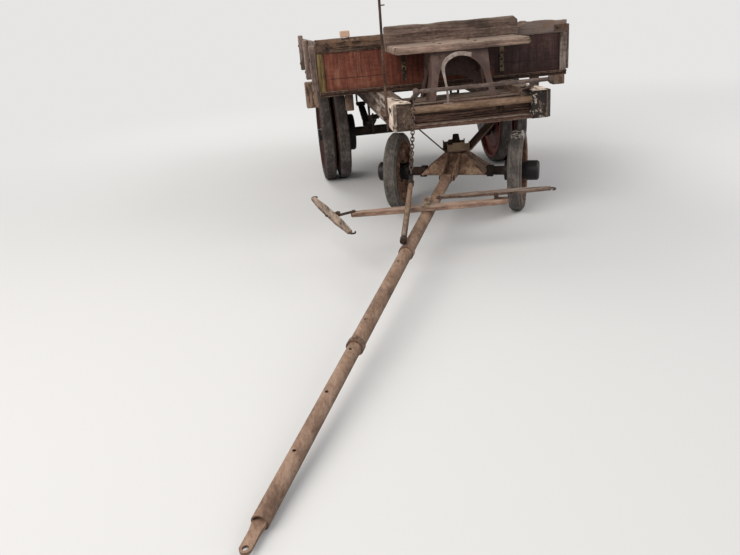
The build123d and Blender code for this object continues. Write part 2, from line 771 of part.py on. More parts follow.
def front_wheel():
    """Felloe ring, tapered spokes and the hub's clamping flanges."""
    half = FRONT_TYRE_WIDTH / 2
    with BuildPart() as spoke:
        with BuildSketch(Plane.XY.offset(FRONT_HUB_RADIUS)):
            Rectangle(*SPOKE_ROOT)
        with BuildSketch(Plane.XY.offset(felloe_inner + 4)):
            Rectangle(*SPOKE_TIP)
        loft()
        chamfer(spoke.edges().filter_by(lambda e: abs(e.center().Z - felloe_inner / 2) < 60), 5)
    with BuildPart() as wheel:
        add(
            turned(
                [
                    (-half + 8, felloe_inner),
                    (half - 8, felloe_inner),
                    (half, felloe_inner + 8),
                    (half, felloe_outer),
                    (-half, felloe_outer),
                    (-half, felloe_inner + 8),
                ]
            )
        )
        for i in range(SPOKES):
            add(spoke.part.rotate(Axis.X, 360 / SPOKES * i))
        add(
            turned(
                [
                    (-24, FRONT_HUB_RADIUS),
                    (24, FRONT_HUB_RADIUS),
                    (24, FRONT_HUB_FLANGE),
                    (-24, FRONT_HUB_FLANGE),
                ]
            )
        )
    return wheel.part


def front_hub():
    """Hub barrel with the tall black grease cap outside, outer side at +X."""
    half = FRONT_HUB_LENGTH / 2
    bore = FRONT_SPINDLE_RADIUS + PIN_FIT
    cap = half + FRONT_CAP_OUT
    return turned(
        [
            (-half, bore),
            (-half, FRONT_HUB_RADIUS + 8),
            (-half + 30, FRONT_HUB_RADIUS + 8),
            (-half + 44, FRONT_HUB_RADIUS),
            (half - 32, FRONT_HUB_RADIUS),
            (half - 32, FRONT_CAP_RADIUS),
            (cap - 12, FRONT_CAP_RADIUS),
            (cap, FRONT_CAP_RADIUS - 12),
            (cap, 0),
            (half + 14, 0),
            (half + 14, bore),
        ]
    )


def wheels():
    """Every wheel, each with its tyre, wheel and hub."""
    for name, side in (("right", -1), ("left", 1)):
        turn = 0 if side > 0 else 180
        rear = REAR * Location((side * REAR_TRACK / 2, 0, REAR_RADIUS), (0, 0, turn))
        keep(f"rear_tyres_{name}", rear_tyres(), rear)
        keep(f"rear_discs_{name}", rear_discs(), rear)
        keep(f"rear_hub_{name}", rear_hub(), rear)
        front = TRUCK * Location((side * FRONT_TRACK / 2, 0, FRONT_RADIUS), (0, 0, turn))
        tyre = solid_tyre(FRONT_RADIUS, FRONT_TYRE_WIDTH, FRONT_TYRE_THICK, 16)
        keep(f"front_tyre_{name}", tyre, front)
        keep(f"front_wheel_{name}", front_wheel(), front)
        keep(f"front_hub_{name}", front_hub(), front)


# King bolt, its hanger under the bolster, and the truck's pressed apron
APRON_TOP = 452.0
APRON_BOTTOM = 322.0
APRON_TOP_HALF = 78.0
APRON_BOTTOM_HALF = 236.0
APRON_TOP_Y = (-72.0, 62.0)
APRON_BOTTOM_Y = (-215.0, 120.0)
APRON_WALL = 7.0
WASHER_TALL = 10.0
KING_RADIUS = 18.0
HANGER_THICK = 10.0
HANGER_HALF = 96.0
HANGER_SPREAD = 365.0
HANGER_WIDE = 150.0
CRADLE_TALL = 60.0
hanger_low = APRON_TOP + WASHER_TALL + SEAT_GAP


def king_hanger():
    """Wide strap bent to a flat-bottomed V under the bolster, the channel on it and the bolt."""
    low = hanger_low + HANGER_THICK / 2
    high = ledge_low - HANGER_THICK / 2
    route = [
        (-HANGER_SPREAD - 55, high),
        (-HANGER_SPREAD, high),
        (-HANGER_HALF, low),
        (HANGER_HALF, low),
        (HANGER_SPREAD, high),
        (HANGER_SPREAD + 55, high),
    ]
    strap = bent_bar(Plane.XZ.offset(KING_FORWARD), route, HANGER_THICK, HANGER_WIDE)
    with BuildPart() as hanger:
        add(strap)
        with Locations((0, -KING_FORWARD, hanger_low)):
            Cylinder(KING_RADIUS + PIN_FIT, 4 * HANGER_THICK, mode=Mode.SUBTRACT)
    keep("king_hanger", hanger.part)
    base = hanger_low + HANGER_THICK
    with BuildPart() as cradle:
        with BuildSketch(Plane.YZ):
            with Locations((-KING_FORWARD, base + CRADLE_TALL / 2)):
                Rectangle(HANGER_WIDE, CRADLE_TALL)
            with Locations((-KING_FORWARD, base + CRADLE_TALL / 2 + 9)):
                Rectangle(HANGER_WIDE - 18, CRADLE_TALL, mode=Mode.SUBTRACT)
        extrude(amount=HANGER_HALF - 10, both=True)
        with Locations((0, -KING_FORWARD, base)):
            Cylinder(KING_RADIUS + PIN_FIT, 4 * HANGER_THICK, mode=Mode.SUBTRACT)
        for x in (-HANGER_HALF + 34, HANGER_HALF - 34):
            with Locations((x, -KING_FORWARD, base + CRADLE_TALL)):
                Box(36, 2 * HANGER_WIDE, 24, mode=Mode.SUBTRACT)
    keep("king_cradle", cradle.part)
    foot = base + 9
    with BuildPart() as bolt:
        with Locations((0, -KING_FORWARD, (APRON_TOP - 42 + foot + 60) / 2)):
            Cylinder(KING_RADIUS, foot + 60 - APRON_TOP + 42)
        with BuildSketch(Plane.XY.offset(foot)):
            with Locations((0, -KING_FORWARD)):
                RegularPolygon(34, 6)
        extrude(amount=46)
        with Locations((0, -KING_FORWARD, foot + 46)):
            Cone(32, 22, 56, align=(Align.CENTER, Align.CENTER, Align.MIN))
        with BuildSketch(Plane.XY.offset(APRON_TOP - APRON_WALL - SEAT_GAP)):
            with Locations((0, -KING_FORWARD)):
                RegularPolygon(32, 6)
        extrude(amount=-24)
    keep("king_bolt", bolt.part)


def apron_block(inset, foot_drop):
    """The apron's four-sided taper, inset by a wall where it is the hollow inside."""
    with BuildPart() as block:
        with BuildSketch(Plane.XY.offset(APRON_BOTTOM - foot_drop)):
            with Locations((0, sum(APRON_BOTTOM_Y) / 2)):
                Rectangle(
                    2 * (APRON_BOTTOM_HALF - inset),
                    APRON_BOTTOM_Y[1] - APRON_BOTTOM_Y[0] - 2 * inset,
                )
        with BuildSketch(Plane.XY.offset(APRON_TOP - inset)):
            with Locations((0, sum(APRON_TOP_Y) / 2)):
                Rectangle(2 * (APRON_TOP_HALF - inset), APRON_TOP_Y[1] - APRON_TOP_Y[0] - 2 * inset)
        loft()
    return block.part


SOCKET_HALF = 40.0
SOCKET_WALL = 7.0


def apron():
    """Pressed apron over the axle, its washer, and the pole's socket cheeks down its front."""
    with BuildPart() as shell:
        add(apron_block(0, 0))
        add(apron_block(APRON_WALL, 1), mode=Mode.SUBTRACT)
        with Locations((0, 0, APRON_BOTTOM - 9)):
            Box(2 * APRON_BOTTOM_HALF, APRON_BOTTOM_Y[1] - APRON_BOTTOM_Y[0], 18)
            Box(2 * (APRON_BOTTOM_HALF - APRON_WALL), 2 * APRON_BOTTOM_HALF, 18, mode=Mode.SUBTRACT)
        with Locations((0, 0, APRON_TOP)):
            Cylinder(48, WASHER_TALL, align=(Align.CENTER, Align.CENTER, Align.MIN))
            Cylinder(KING_RADIUS + PIN_FIT, 60, mode=Mode.SUBTRACT)
        with Locations((0, 0, FRONT_RADIUS)):
            Box(4 * APRON_BOTTOM_HALF, FRONT_AXLE_SIZE, FRONT_AXLE_SIZE, mode=Mode.SUBTRACT)
    return shell.part


def pole_socket():
    """Two cheeks and a floor that run down the apron's front to the pole's hinge pin."""
    slope_top = (APRON_TOP_Y[0] - 6, APRON_TOP - 6)
    with BuildPart() as socket:
        for side in (-1, 1):
            with BuildSketch(Plane.YZ.offset(side * (SOCKET_HALF + SOCKET_WALL / 2))):
                with BuildLine():
                    Polyline(
                        slope_top,
                        (APRON_BOTTOM_Y[0] - 2, APRON_BOTTOM + 2),
                        (APRON_BOTTOM_Y[0] - 2, APRON_BOTTOM - 6),
                        (-PIN_FORWARD, PIN_Z - 27),
                        (-PIN_FORWARD - 24, PIN_Z - 10),
                        (-PIN_FORWARD - 24, PIN_Z + 14),
                        (-PIN_FORWARD, PIN_Z + 27),
                        (APRON_TOP_Y[0] - 30, APRON_TOP + 4),
                        close=True,
                    )
                make_face()
            extrude(amount=SOCKET_WALL / 2, both=True)
        with Locations(Location((0, -PIN_FORWARD, PIN_Z), (0, 90, 0))):
            Cylinder(PIN_RADIUS, 2 * (SOCKET_HALF + SOCKET_WALL) + 20)
        with Locations((0, APRON_BOTTOM_Y[0] - 40, APRON_BOTTOM - 1)):
            Box(2 * SOCKET_HALF, 70, 8)
        add(apron_block(0, 0), mode=Mode.SUBTRACT)
    return socket.part


def front_truck():
    """Axle and apron, square to the truck."""
    spindle = FRONT_TRACK / 2 + FRONT_HUB_LENGTH / 2
    bed = FRONT_TRACK / 2 - FRONT_HUB_LENGTH / 2 - RUN_GAP
    with BuildPart() as axle:
        with Locations((0, 0, FRONT_RADIUS)):
            Box(2 * bed, FRONT_AXLE_SIZE, FRONT_AXLE_SIZE)
        chamfer(axle.edges().filter_by(Axis.X), 7)
        with Locations(Location((0, 0, FRONT_RADIUS), (0, 90, 0))):
            Cylinder(FRONT_SPINDLE_RADIUS, 2 * spindle)
        for side in (-1, 1):
            with Locations((side * (APRON_BOTTOM_HALF + 23), 0, FRONT_RADIUS)):
                Box(46, FRONT_AXLE_SIZE + 22, FRONT_AXLE_SIZE + 16)
    keep("front_axle", axle.part, TRUCK)
    keep("apron", apron(), TRUCK)
    keep("pole_socket", pole_socket(), TRUCK)


# Draw pole, built along -Y from its hinge pin, and where the stay rod's clamp is on it
ROD_FRONT_FORWARD = 1650.0
BAND_THICK = 7.0
HOLE_RADIUS = 8.0
POLE_HOLES = (1450.0, 2080.0, 2330.0, 2650.0, 3010.0)


def draw_pole():
    """Larger rear tube with a hinge tongue, smaller front tube with bolt holes, collar and tip."""
    with BuildPart() as sleeve:
        with BuildSketch(Plane.XZ.offset(SLEEVE_FROM)):
            Circle(SLEEVE_RADIUS)
        extrude(amount=SLEEVE_TO - SLEEVE_FROM)
        bore_long = SLEEVE_LAP + SLEEVE_SPARE
        with BuildSketch(Plane.XZ.offset(SLEEVE_TO - bore_long)):
            Circle(PIPE_RADIUS + 0.1)
        extrude(amount=bore_long, mode=Mode.SUBTRACT)
        with BuildSketch(Plane.YZ):
            Circle(24)
            with Locations((-SLEEVE_FROM / 2 - 4, 0)):
                Rectangle(SLEEVE_FROM + 8, 48)
            Circle(PIN_RADIUS + PIN_FIT, mode=Mode.SUBTRACT)
        extrude(amount=SOCKET_HALF - RUN_GAP, both=True)
        for s in POLE_HOLES[:2]:
            with Locations((0, -s, 0)):
                Cylinder(HOLE_RADIUS, 3 * SLEEVE_RADIUS, mode=Mode.SUBTRACT)
    keep("pole_sleeve", sleeve.part, POLE)
    with BuildPart() as pipe:
        with BuildSketch(Plane.XZ.offset(SLEEVE_TO - SLEEVE_LAP)):
            Circle(PIPE_RADIUS)
            Circle(PIPE_RADIUS - PIPE_WALL, mode=Mode.SUBTRACT)
        extrude(amount=PIPE_TO - SLEEVE_TO + SLEEVE_LAP)
        for s in POLE_HOLES:
            if s > SLEEVE_TO:
                with Locations((0, -s, 0)):
                    Cylinder(HOLE_RADIUS, 3 * PIPE_RADIUS, mode=Mode.SUBTRACT)
    keep("pole_pipe", pipe.part, POLE)
    with BuildPart() as collar:
        with BuildSketch(Plane.XZ.offset(SLEEVE_TO)):
            Circle(SLEEVE_RADIUS + 5)
            Circle(PIPE_RADIUS + 0.1, mode=Mode.SUBTRACT)
        extrude(amount=34)
        with Locations((0, -SLEEVE_TO - 17, SLEEVE_RADIUS + 10)):
            Box(18, 22, 18)
    with BuildPart() as tip:
        with BuildSketch(Plane.XY.offset(0)):
            with BuildLine():
                Polyline(
                    (-PIPE_RADIUS + 7, -PIPE_TO + 60),
                    (-PIPE_RADIUS + 7, -PIPE_TO - 12),
                    (-21, -PIPE_TO - 40),
                    (-21, -PIPE_TO - 110),
                    (21, -PIPE_TO - 110),
                    (21, -PIPE_TO - 40),
                    (PIPE_RADIUS - 7, -PIPE_TO - 12),
                    (PIPE_RADIUS - 7, -PIPE_TO + 60),
                    close=True,
                )
            make_face()
            with Locations((0, -PIPE_TO - 110)):
                Circle(21)
                Circle(11, mode=Mode.SUBTRACT)
        extrude(amount=6, both=True)
    keep("pole_tip", tip.part, POLE)
    along = ROD_FRONT_FORWARD - PIN_FORWARD
    with BuildPart() as clamp:
        with BuildSketch(Plane.XZ.offset(along - 10)):
            Circle(SLEEVE_RADIUS + BAND_THICK)
            Circle(SLEEVE_RADIUS + 0.1, mode=Mode.SUBTRACT)
        extrude(amount=40)
    keep("pole_bands", Compound(children=[collar.part, clamp.part]), POLE)


STRAP_THICK = 9.0
STRAP_WIDE = 42.0


def evener_strap():
    """Strap bolted to the pole behind the evener and reaching over it, with the evener's pin."""
    top = EVENER_SEAT + EVENER_THICK + SEAT_GAP + STRAP_THICK / 2
    route = [
        (-EVENER_AT + 150, SLEEVE_RADIUS + STRAP_THICK / 2),
        (-EVENER_AT + 82, SLEEVE_RADIUS + STRAP_THICK / 2),
        (-EVENER_AT + 52, top),
        (-EVENER_AT - 34, top),
    ]
    with BuildPart() as strap:
        with BuildSketch(Plane.YZ):
            with BuildLine():
                Polyline(*bar_outline(route, STRAP_THICK), close=True)
            make_face()
        extrude(amount=STRAP_WIDE / 2, both=True)
        with Locations((0, -EVENER_AT + 120, SLEEVE_RADIUS + 2)):
            Cylinder(12, 22, align=(Align.CENTER, Align.CENTER, Align.MIN))
        with Locations((0, -EVENER_AT, SLEEVE_RADIUS)):
            Cylinder(PIN_RADIUS, top - SLEEVE_RADIUS, align=(Align.CENTER, Align.CENTER, Align.MIN))
        with Locations((0, -EVENER_AT, top)):
            Cylinder(19, 16, align=(Align.CENTER, Align.CENTER, Align.MIN))
    return strap.part


def wooden_bar(half, wide, thick, end_share):
    """A tapered wooden bar along X, standing on its own plane: full at the middle, slim ends."""
    end = wide * end_share
    with BuildPart() as bar:
        with BuildSketch():
            with BuildLine():
                Polyline(
                    (-half, -end / 2),
                    (-half * 0.45, -wide / 2),
                    (half * 0.45, -wide / 2),
                    (half, -end / 2),
                    (half, end / 2),
                    (half * 0.45, wide / 2),
                    (-half * 0.45, wide / 2),
                    (-half, end / 2),
                    close=True,
                )
            make_face()
        extrude(amount=thick)
        corners = bar.edges().filter_by(Axis.Z).filter_by(lambda e: abs(e.center().X) > half - 1)
        chamfer(corners, end * 0.22)
        chamfer(bar.edges().filter_by(lambda e: abs(e.tangent_at(0.5).Z) < 0.1), thick * 0.16)
    return bar.part


def evener():
    """The evener bar with its pin hole, and the iron strap that carries an eye at each end."""
    with BuildPart() as wood:
        bar = wooden_bar(EVENER_HALF, EVENER_WIDE, EVENER_THICK, 0.68)
        add(bar.moved(Location((EVENER_SHIFT, 0, 0))))
        Cylinder(PIN_RADIUS + PIN_FIT, 3 * EVENER_THICK, mode=Mode.SUBTRACT)
    keep("evener", wood.part, EVENER)


HOOK_WIRE = 8.0
EYE_REACH = 50.0
EYE_RADIUS = 16.0
EYE_THICK = 8.0
EYE_SHANK = 12.0
EYE_PIN = 8.0
PLATE = (26.0, 3.0)
NUT = (18.0, 6.0)
IRON_TALL = 13.0


def end_hook(side):
    """Open hook on a singletree's end, curling forward, level with the eye."""
    start = side * TREE_HALF
    with BuildPart() as hook:
        with BuildSketch(Plane.XY.offset(EYE_THICK / 2)):
            with BuildLine():
                shank = Line((start, 4), (start + side * 10, 4))
                ThreePointArc(shank @ 1, (start + side * 24, -14), (start + side * 6, -30))
                offset(amount=HOOK_WIRE / 2, kind=Kind.INTERSECTION)
            make_face()
            with Locations((start - side * 20, 0)):
                Rectangle(40, 80, mode=Mode.SUBTRACT)
        extrude(amount=HOOK_WIRE / 2, both=True)
    return hook.part


def tree_irons():
    """Eye bolt through a singletree's middle, with its eye at the origin, and the end hooks."""
    bar_near = EYE_REACH - TREE_WIDE / 2
    bar_far = EYE_REACH + TREE_WIDE / 2
    with BuildPart() as irons:
        with BuildSketch():
            Circle(EYE_RADIUS)
            with Locations((0, bar_near / 2)):
                Rectangle(EYE_SHANK, bar_near)
            Circle(EYE_PIN + PIN_FIT, mode=Mode.SUBTRACT)
        extrude(amount=EYE_THICK)
        for y, (long, thick) in ((bar_near - PLATE[1] / 2, PLATE), (bar_far + NUT[1] / 2, NUT)):
            with Locations((0, y, EYE_THICK / 2)):
                Box(long, thick, IRON_TALL)
        for side in (-1, 1):
            add(end_hook(side).moved(Location((0, EYE_REACH, 0))))
    return irons.part


# Where each singletree's pin is from the evener's, as the photo's bars lie, and its turn there
TREE_PINS = {"right": (-558.0, -44.0), "left": (446.0, 13.0)}
TREE_TURNS = {"right": 113.8, "left": -1.7}
LINK_BOLTS = {"right": -462.0, "left": 504.0}
LINK_WIDE = 28.0
LINK_WIRE = 8.0
LINK_THICK = 7.0
LINK_BOLT = (11.0, 4.0)
PIN_RAISE = 11.0
tree_seat = EVENER_THICK + LINK_THICK + PIN_RAISE + SEAT_GAP
tree_low = (EYE_THICK - TREE_THICK) / 2


def evener_irons():
    """Long link bolted on the evener's top at each end, with the singletree's pin in its end."""
    with BuildPart() as irons:
        for name, (x, y) in TREE_PINS.items():
            bolt = LINK_BOLTS[name]
            run = hypot(x - bolt, y)
            lean = degrees(atan2(y, x - bolt))
            with BuildSketch(Plane.XY.offset(EVENER_THICK)):
                with Locations(Location(((x + bolt) / 2, y / 2), lean)):
                    SlotCenterToCenter(run, LINK_WIDE)
                    SlotCenterToCenter(run, LINK_WIDE - 2 * LINK_WIRE, mode=Mode.SUBTRACT)
                with Locations((bolt, 0), (x, y)):
                    Circle(LINK_WIDE / 2)
            extrude(amount=LINK_THICK)
            with Locations((x, y, EVENER_THICK)):
                Cylinder(12, LINK_THICK + PIN_RAISE, align=(Align.CENTER, Align.CENTER, Align.MIN))
                Cylinder(
                    EYE_PIN,
                    tree_seat - EVENER_THICK + 12,
                    align=(Align.CENTER, Align.CENTER, Align.MIN),
                )
            with Locations((bolt, 0, EVENER_THICK + LINK_THICK)):
                Cylinder(*LINK_BOLT, align=(Align.CENTER, Align.CENTER, Align.MIN))
    return irons.part


def harness_bars():
    """Evener with its irons and both singletrees on their pins."""
    evener()
    keep("evener_strap", evener_strap(), POLE)
    keep("evener_irons", evener_irons(), EVENER)
    for name, (x, y) in TREE_PINS.items():
        place = EVENER * Location((x, y, tree_seat), (0, 0, TREE_TURNS[name]))
        bar = wooden_bar(TREE_HALF, TREE_WIDE, TREE_THICK, 0.55)
        keep(f"singletree_{name}", bar.moved(Location((0, EYE_REACH, tree_low))), place)
        keep(f"tree_irons_{name}", tree_irons(), place)


# Stay rod that lies over the evener, from the chain to the pole
ROD_RADIUS = 18.0
FERRULE_THICK = 3.0
ROD_REAR = Vector(-145.0, -890.0, 440.0)
ROD_FRONT_ASIDE = 16.0


def stay_rod():
    """Wooden rod with iron ferrules and an eye for the chain, and its clamp on the pole."""
    slope = radians(POLE_SLOPE)
    along = ROD_FRONT_FORWARD - PIN_FORWARD
    pole_z = PIN_Z - along * tan(slope)
    apart = SLEEVE_RADIUS + BAND_THICK + ROD_RADIUS + FERRULE_THICK + 2 * SEAT_GAP
    rise = (apart**2 - ROD_FRONT_ASIDE**2) ** 0.5 / cos(slope)
    front = Vector(-ROD_FRONT_ASIDE, -ROD_FRONT_FORWARD, pole_z + rise)
    run = front - ROD_REAR
    plane = Plane(origin=ROD_REAR, z_dir=run.normalized(), x_dir=(1, 0, 0))
    long = run.length
    with BuildPart() as rod:
        with BuildSketch(plane):
            Circle(ROD_RADIUS - 2)
        with BuildSketch(plane.offset(long / 2)):
            Circle(ROD_RADIUS)
        with BuildSketch(plane.offset(long)):
            Circle(ROD_RADIUS - 1)
        loft(ruled=True)
    keep("stay_rod", rod.part, TRUCK)
    with BuildPart() as irons:
        for start, end in ((-4, 42), (long - 34, long + 4)):
            with BuildSketch(plane.offset(start)):
                Circle(ROD_RADIUS + FERRULE_THICK)
            extrude(amount=end - start)
        with BuildSketch(Plane(origin=ROD_REAR - run.normalized() * 15, z_dir=(1, 0, 0))):
            Circle(16)
            Circle(8, mode=Mode.SUBTRACT)
        extrude(amount=4, both=True)
        add(rod.part, mode=Mode.SUBTRACT)
    keep("stay_rod_irons", irons.part, TRUCK)


# Box of the wagon
floor_low = SILL_TOP + CROSS_SILL_TALL
body_rear = BODY_FRONT + BODY_LENGTH
inside_half = BODY_HALF - BOARD_THICK
panel_back = BODY_FRONT + BOARD_THICK


def box_floor():
    """Cross sills on the long sills, and the floor boards laid along the wagon."""
    with BuildPart() as sills:
        for y in CROSS_SILLS_Y:
            with Locations((0, y, SILL_TOP + CROSS_SILL_TALL / 2)):
                Box(2 * inside_half, CROSS_SILL_DEEP, CROSS_SILL_TALL)
    keep("cross_sills", sills.part)
    board = (2 * inside_half - (FLOOR_BOARDS - 1) * FLOOR_GAP) / FLOOR_BOARDS
    with BuildPart() as boards:
        long = body_rear - BOARD_THICK - panel_back
        middle = (body_rear - BOARD_THICK + panel_back) / 2
        for i in range(FLOOR_BOARDS):
            x = -inside_half + board / 2 + i * (board + FLOOR_GAP)
            with Locations((x, middle, floor_low + FLOOR_THICK / 2)):
                Box(board, long, FLOOR_THICK)
    keep("floor_boards", boards.part)


def front_of_box():
    """Framed front: bottom rail with its moulding, end posts, red panel, top board and straps."""
    face = BODY_FRONT - 12
    with BuildPart() as frame:
        with Locations((0, face + FRAME_DEEP / 2 - 8, (SILL_TOP + RAIL_TOP) / 2)):
            Box(2 * BODY_HALF, FRAME_DEEP, RAIL_TOP - SILL_TOP)
        with Locations((0, face - 4, RAIL_TOP - 5)):
            Box(2 * BODY_HALF, 22, 12)
        for side in (-1, 1):
            with Locations((side * (BODY_HALF - POST_WIDE / 2), face + 6, (RAIL_TOP + PANEL_TOP) / 2)):
                Box(POST_WIDE, 12, PANEL_TOP - RAIL_TOP)
    keep("front_frame", frame.part)
    with BuildPart() as panel:
        with Locations((0, BODY_FRONT + BOARD_THICK / 2, (RAIL_TOP + PANEL_TOP) / 2)):
            Box(2 * inside_half, BOARD_THICK, PANEL_TOP - RAIL_TOP)
    keep("front_panel", panel.part)
    low = (-BODY_HALF, face, PANEL_TOP)
    keep("front_top_board", timber(low, (BODY_HALF, panel_back, TOP_BOARD_TOP), 5))
    with BuildPart() as straps:
        for x in MUNTINS_X:
            with BuildSketch(Plane.XZ.offset(-BODY_FRONT)):
                with Locations((x, (RAIL_TOP + PANEL_TOP) / 2 + 8)):
                    Rectangle(34, PANEL_TOP - RAIL_TOP - 48)
                    with GridLocations(1, 52, 1, 4):
                        Circle(7, mode=Mode.SUBTRACT)
            extrude(amount=5)
    keep("front_straps", straps.part)


def sides_of_box():
    """Board sides that drop a little to the rear, tail board, stakes and pocket blocks."""
    for name, side in (("right", -1), ("left", 1)):
        with BuildPart() as board:
            with BuildSketch(Plane.YZ.offset(side * inside_half)):
                with BuildLine():
                    Polyline(
                        (BODY_FRONT + BOARD_THICK, SIDE_BOTTOM),
                        (body_rear, SIDE_BOTTOM),
                        (body_rear, SIDE_TOP_REAR),
                        (BODY_FRONT + BOARD_THICK, SIDE_TOP_FRONT),
                        close=True,
                    )
                make_face()
            extrude(amount=side * BOARD_THICK)
        keep(f"side_board_{name}", board.part)
    with BuildPart() as stakes:
        for side in (-1, 1):
            for y in STAKES_Y:
                with Locations((side * (BODY_HALF + STAKE_THICK / 2), y, (SIDE_BOTTOM + STAKE_TOP) / 2)):
                    Box(STAKE_THICK, STAKE_DEEP, STAKE_TOP - SIDE_BOTTOM)
        chamfer(stakes.edges(), 5)
    keep("stakes", stakes.part)
    with BuildPart() as blocks:
        for side in (-1, 1):
            with Locations((side * (BODY_HALF + POCKET[0] / 2), POCKET_Y, POCKET_Z)):
                Box(*POCKET)
            for y in (CROSS_SILLS_Y[0], CROSS_SILLS_Y[-2]):
                with Locations((side * HUNG_BLOCK_X, y, SILL_TOP - HUNG_BLOCK[2] / 2)):
                    Box(*HUNG_BLOCK)
        with Locations((TOP_BLOCK_X, panel_back - 22, TOP_BOARD_TOP + 24)):
            Box(*TOP_BLOCK)
        chamfer(blocks.edges(), 6)
    keep("painted_blocks", blocks.part)
    with BuildPart() as tail:
        with Locations((0, body_rear - BOARD_THICK / 2, (floor_low + TAIL_TOP) / 2)):
            Box(2 * inside_half, BOARD_THICK, TAIL_TOP - floor_low)
    keep("tail_board", tail.part)


def build_wagon():
    """Every piece in its place."""
    frame_timbers()
    keep("corner_irons", Compound(children=[corner_iron(-1), corner_iron(1)]))
    foot_rest()
    keep("stay_chain", stay_chain())
    keep("seat_pedestal", seat_pedestal())
    seat_boards()
    keep("foot_lever", foot_lever())
    keep("brake_lever", brake_lever())
    keep("brake_gear", Compound(children=[brake_gear(), brake_bolt()]))
    keep("rear_axle", rear_axle(), REAR)
    rear_springs()
    king_hanger()
    front_truck()
    wheels()
    draw_pole()
    harness_bars()
    stay_rod()
    box_floor()
    front_of_box()
    sides_of_box()


build_wagon()
boxes = [piece.bounding_box() for piece in pieces.values()]
low = [min(tuple(box.min)[i] for box in boxes) for i in range(3)]
high = [max(tuple(box.max)[i] for box in boxes) for i in range(3)]
SHIFT = Location((-(low[0] + high[0]) / 2, -(low[1] + high[1]) / 2, -low[2]))
os.makedirs("parts", exist_ok=True)
for name, piece in pieces.items():
    piece.move(SHIFT)
    piece.label = name
    export_step(piece, f"parts/{name}.step")
print("pieces", len(pieces), "lowest", low, "highest", high)
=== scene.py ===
import bmesh
import bpy
import json
import math
import random
from mathutils import Matrix, Vector, noise

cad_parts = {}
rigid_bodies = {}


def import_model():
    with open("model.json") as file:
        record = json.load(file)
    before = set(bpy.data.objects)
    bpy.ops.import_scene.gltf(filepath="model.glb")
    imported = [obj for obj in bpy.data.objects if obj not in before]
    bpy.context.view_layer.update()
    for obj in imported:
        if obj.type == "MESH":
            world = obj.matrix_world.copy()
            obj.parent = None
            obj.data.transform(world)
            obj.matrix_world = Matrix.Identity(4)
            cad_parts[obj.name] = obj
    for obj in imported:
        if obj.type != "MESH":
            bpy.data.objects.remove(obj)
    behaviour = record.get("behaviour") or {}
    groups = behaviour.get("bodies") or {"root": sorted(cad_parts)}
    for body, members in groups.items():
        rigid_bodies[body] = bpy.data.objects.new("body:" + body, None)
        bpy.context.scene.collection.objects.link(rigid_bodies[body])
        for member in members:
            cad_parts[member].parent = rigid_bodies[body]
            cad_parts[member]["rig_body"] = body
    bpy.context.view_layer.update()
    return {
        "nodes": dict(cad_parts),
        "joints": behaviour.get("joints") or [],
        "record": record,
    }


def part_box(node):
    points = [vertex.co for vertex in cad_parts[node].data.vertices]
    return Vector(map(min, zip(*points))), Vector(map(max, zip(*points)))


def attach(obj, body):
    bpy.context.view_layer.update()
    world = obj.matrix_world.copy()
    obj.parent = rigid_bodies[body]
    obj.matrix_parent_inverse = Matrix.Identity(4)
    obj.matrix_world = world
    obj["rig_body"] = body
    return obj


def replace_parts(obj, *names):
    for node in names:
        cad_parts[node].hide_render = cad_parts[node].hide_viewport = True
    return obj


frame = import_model()

# View, light and floor
# The wagon is seen from in front and from its right, by someone standing beside the end of its
# pole. Places are measured from a point 150 mm ahead of the rear axle, and the joints give the
# frames of the steered truck and of the pole. Floor and background are one even pale tone.
nodes = frame["nodes"]
joint = {entry["name"]: entry for entry in frame["joints"]}
mount = {entry["name"]: entry for entry in frame["record"]["mounts"]}
axle_low, axle_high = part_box("rear_axle")
AXLE_BACK = 0.150
axle_mid = (axle_low + axle_high) / 2
origin = Vector((axle_mid.x, axle_mid.y - AXLE_BACK, 0))


def at(x, y, z):
    """A place measured in metres from the point on the ground ahead of the rear axle."""
    return origin + Vector((x, y, z))


def basis(x_axis, y_axis, z_axis, place):
    """The matrix of a frame from its three directions and its place."""
    turn = Matrix((x_axis, y_axis, z_axis)).transposed().to_4x4()
    return Matrix.Translation(place) @ turn


truck_x = Vector(joint["front_wheel_left_roll"]["axis"])
truck_y = Vector((0, 0, 1)).cross(truck_x)
king = Vector(joint["steer"]["pos_m"])
truck = basis(truck_x, truck_y, Vector((0, 0, 1)), Vector((king.x, king.y, 0)))
hinge = Vector(joint["pole_pitch"]["pos_m"])
pole_back = (hinge - Vector(mount["pole_tip_eye"]["pos_m"])).normalized()
pole_up = Vector(joint["evener_swing"]["axis"])
pole = basis(truck_x, pole_back, pole_up, hinge)

CAMERA_AT = (-1.302, -6.650, 1.600)
CAMERA_RIGHT = Vector((0.98791, -0.13439, -0.07723))
CAMERA_DOWN = Vector((-0.12068, -0.35421, -0.92735))
CAMERA_AHEAD = Vector((0.09727, 0.92546, -0.36615))
CAMERA_LENS = 34.53
camera = bpy.data.objects.new("camera", bpy.data.cameras.new("camera"))
camera.data.lens = CAMERA_LENS
camera.data.clip_end = 300
camera.matrix_world = basis(CAMERA_RIGHT, -CAMERA_DOWN, -CAMERA_AHEAD, at(*CAMERA_AT))
bpy.context.scene.collection.objects.link(camera)
bpy.context.scene.camera = camera

PALE = (0.64, 0.64, 0.64, 1)
BACKDROP = (0.79, 0.785, 0.775, 1)
LAMP_AIM = (0, -1.0, 0.6)
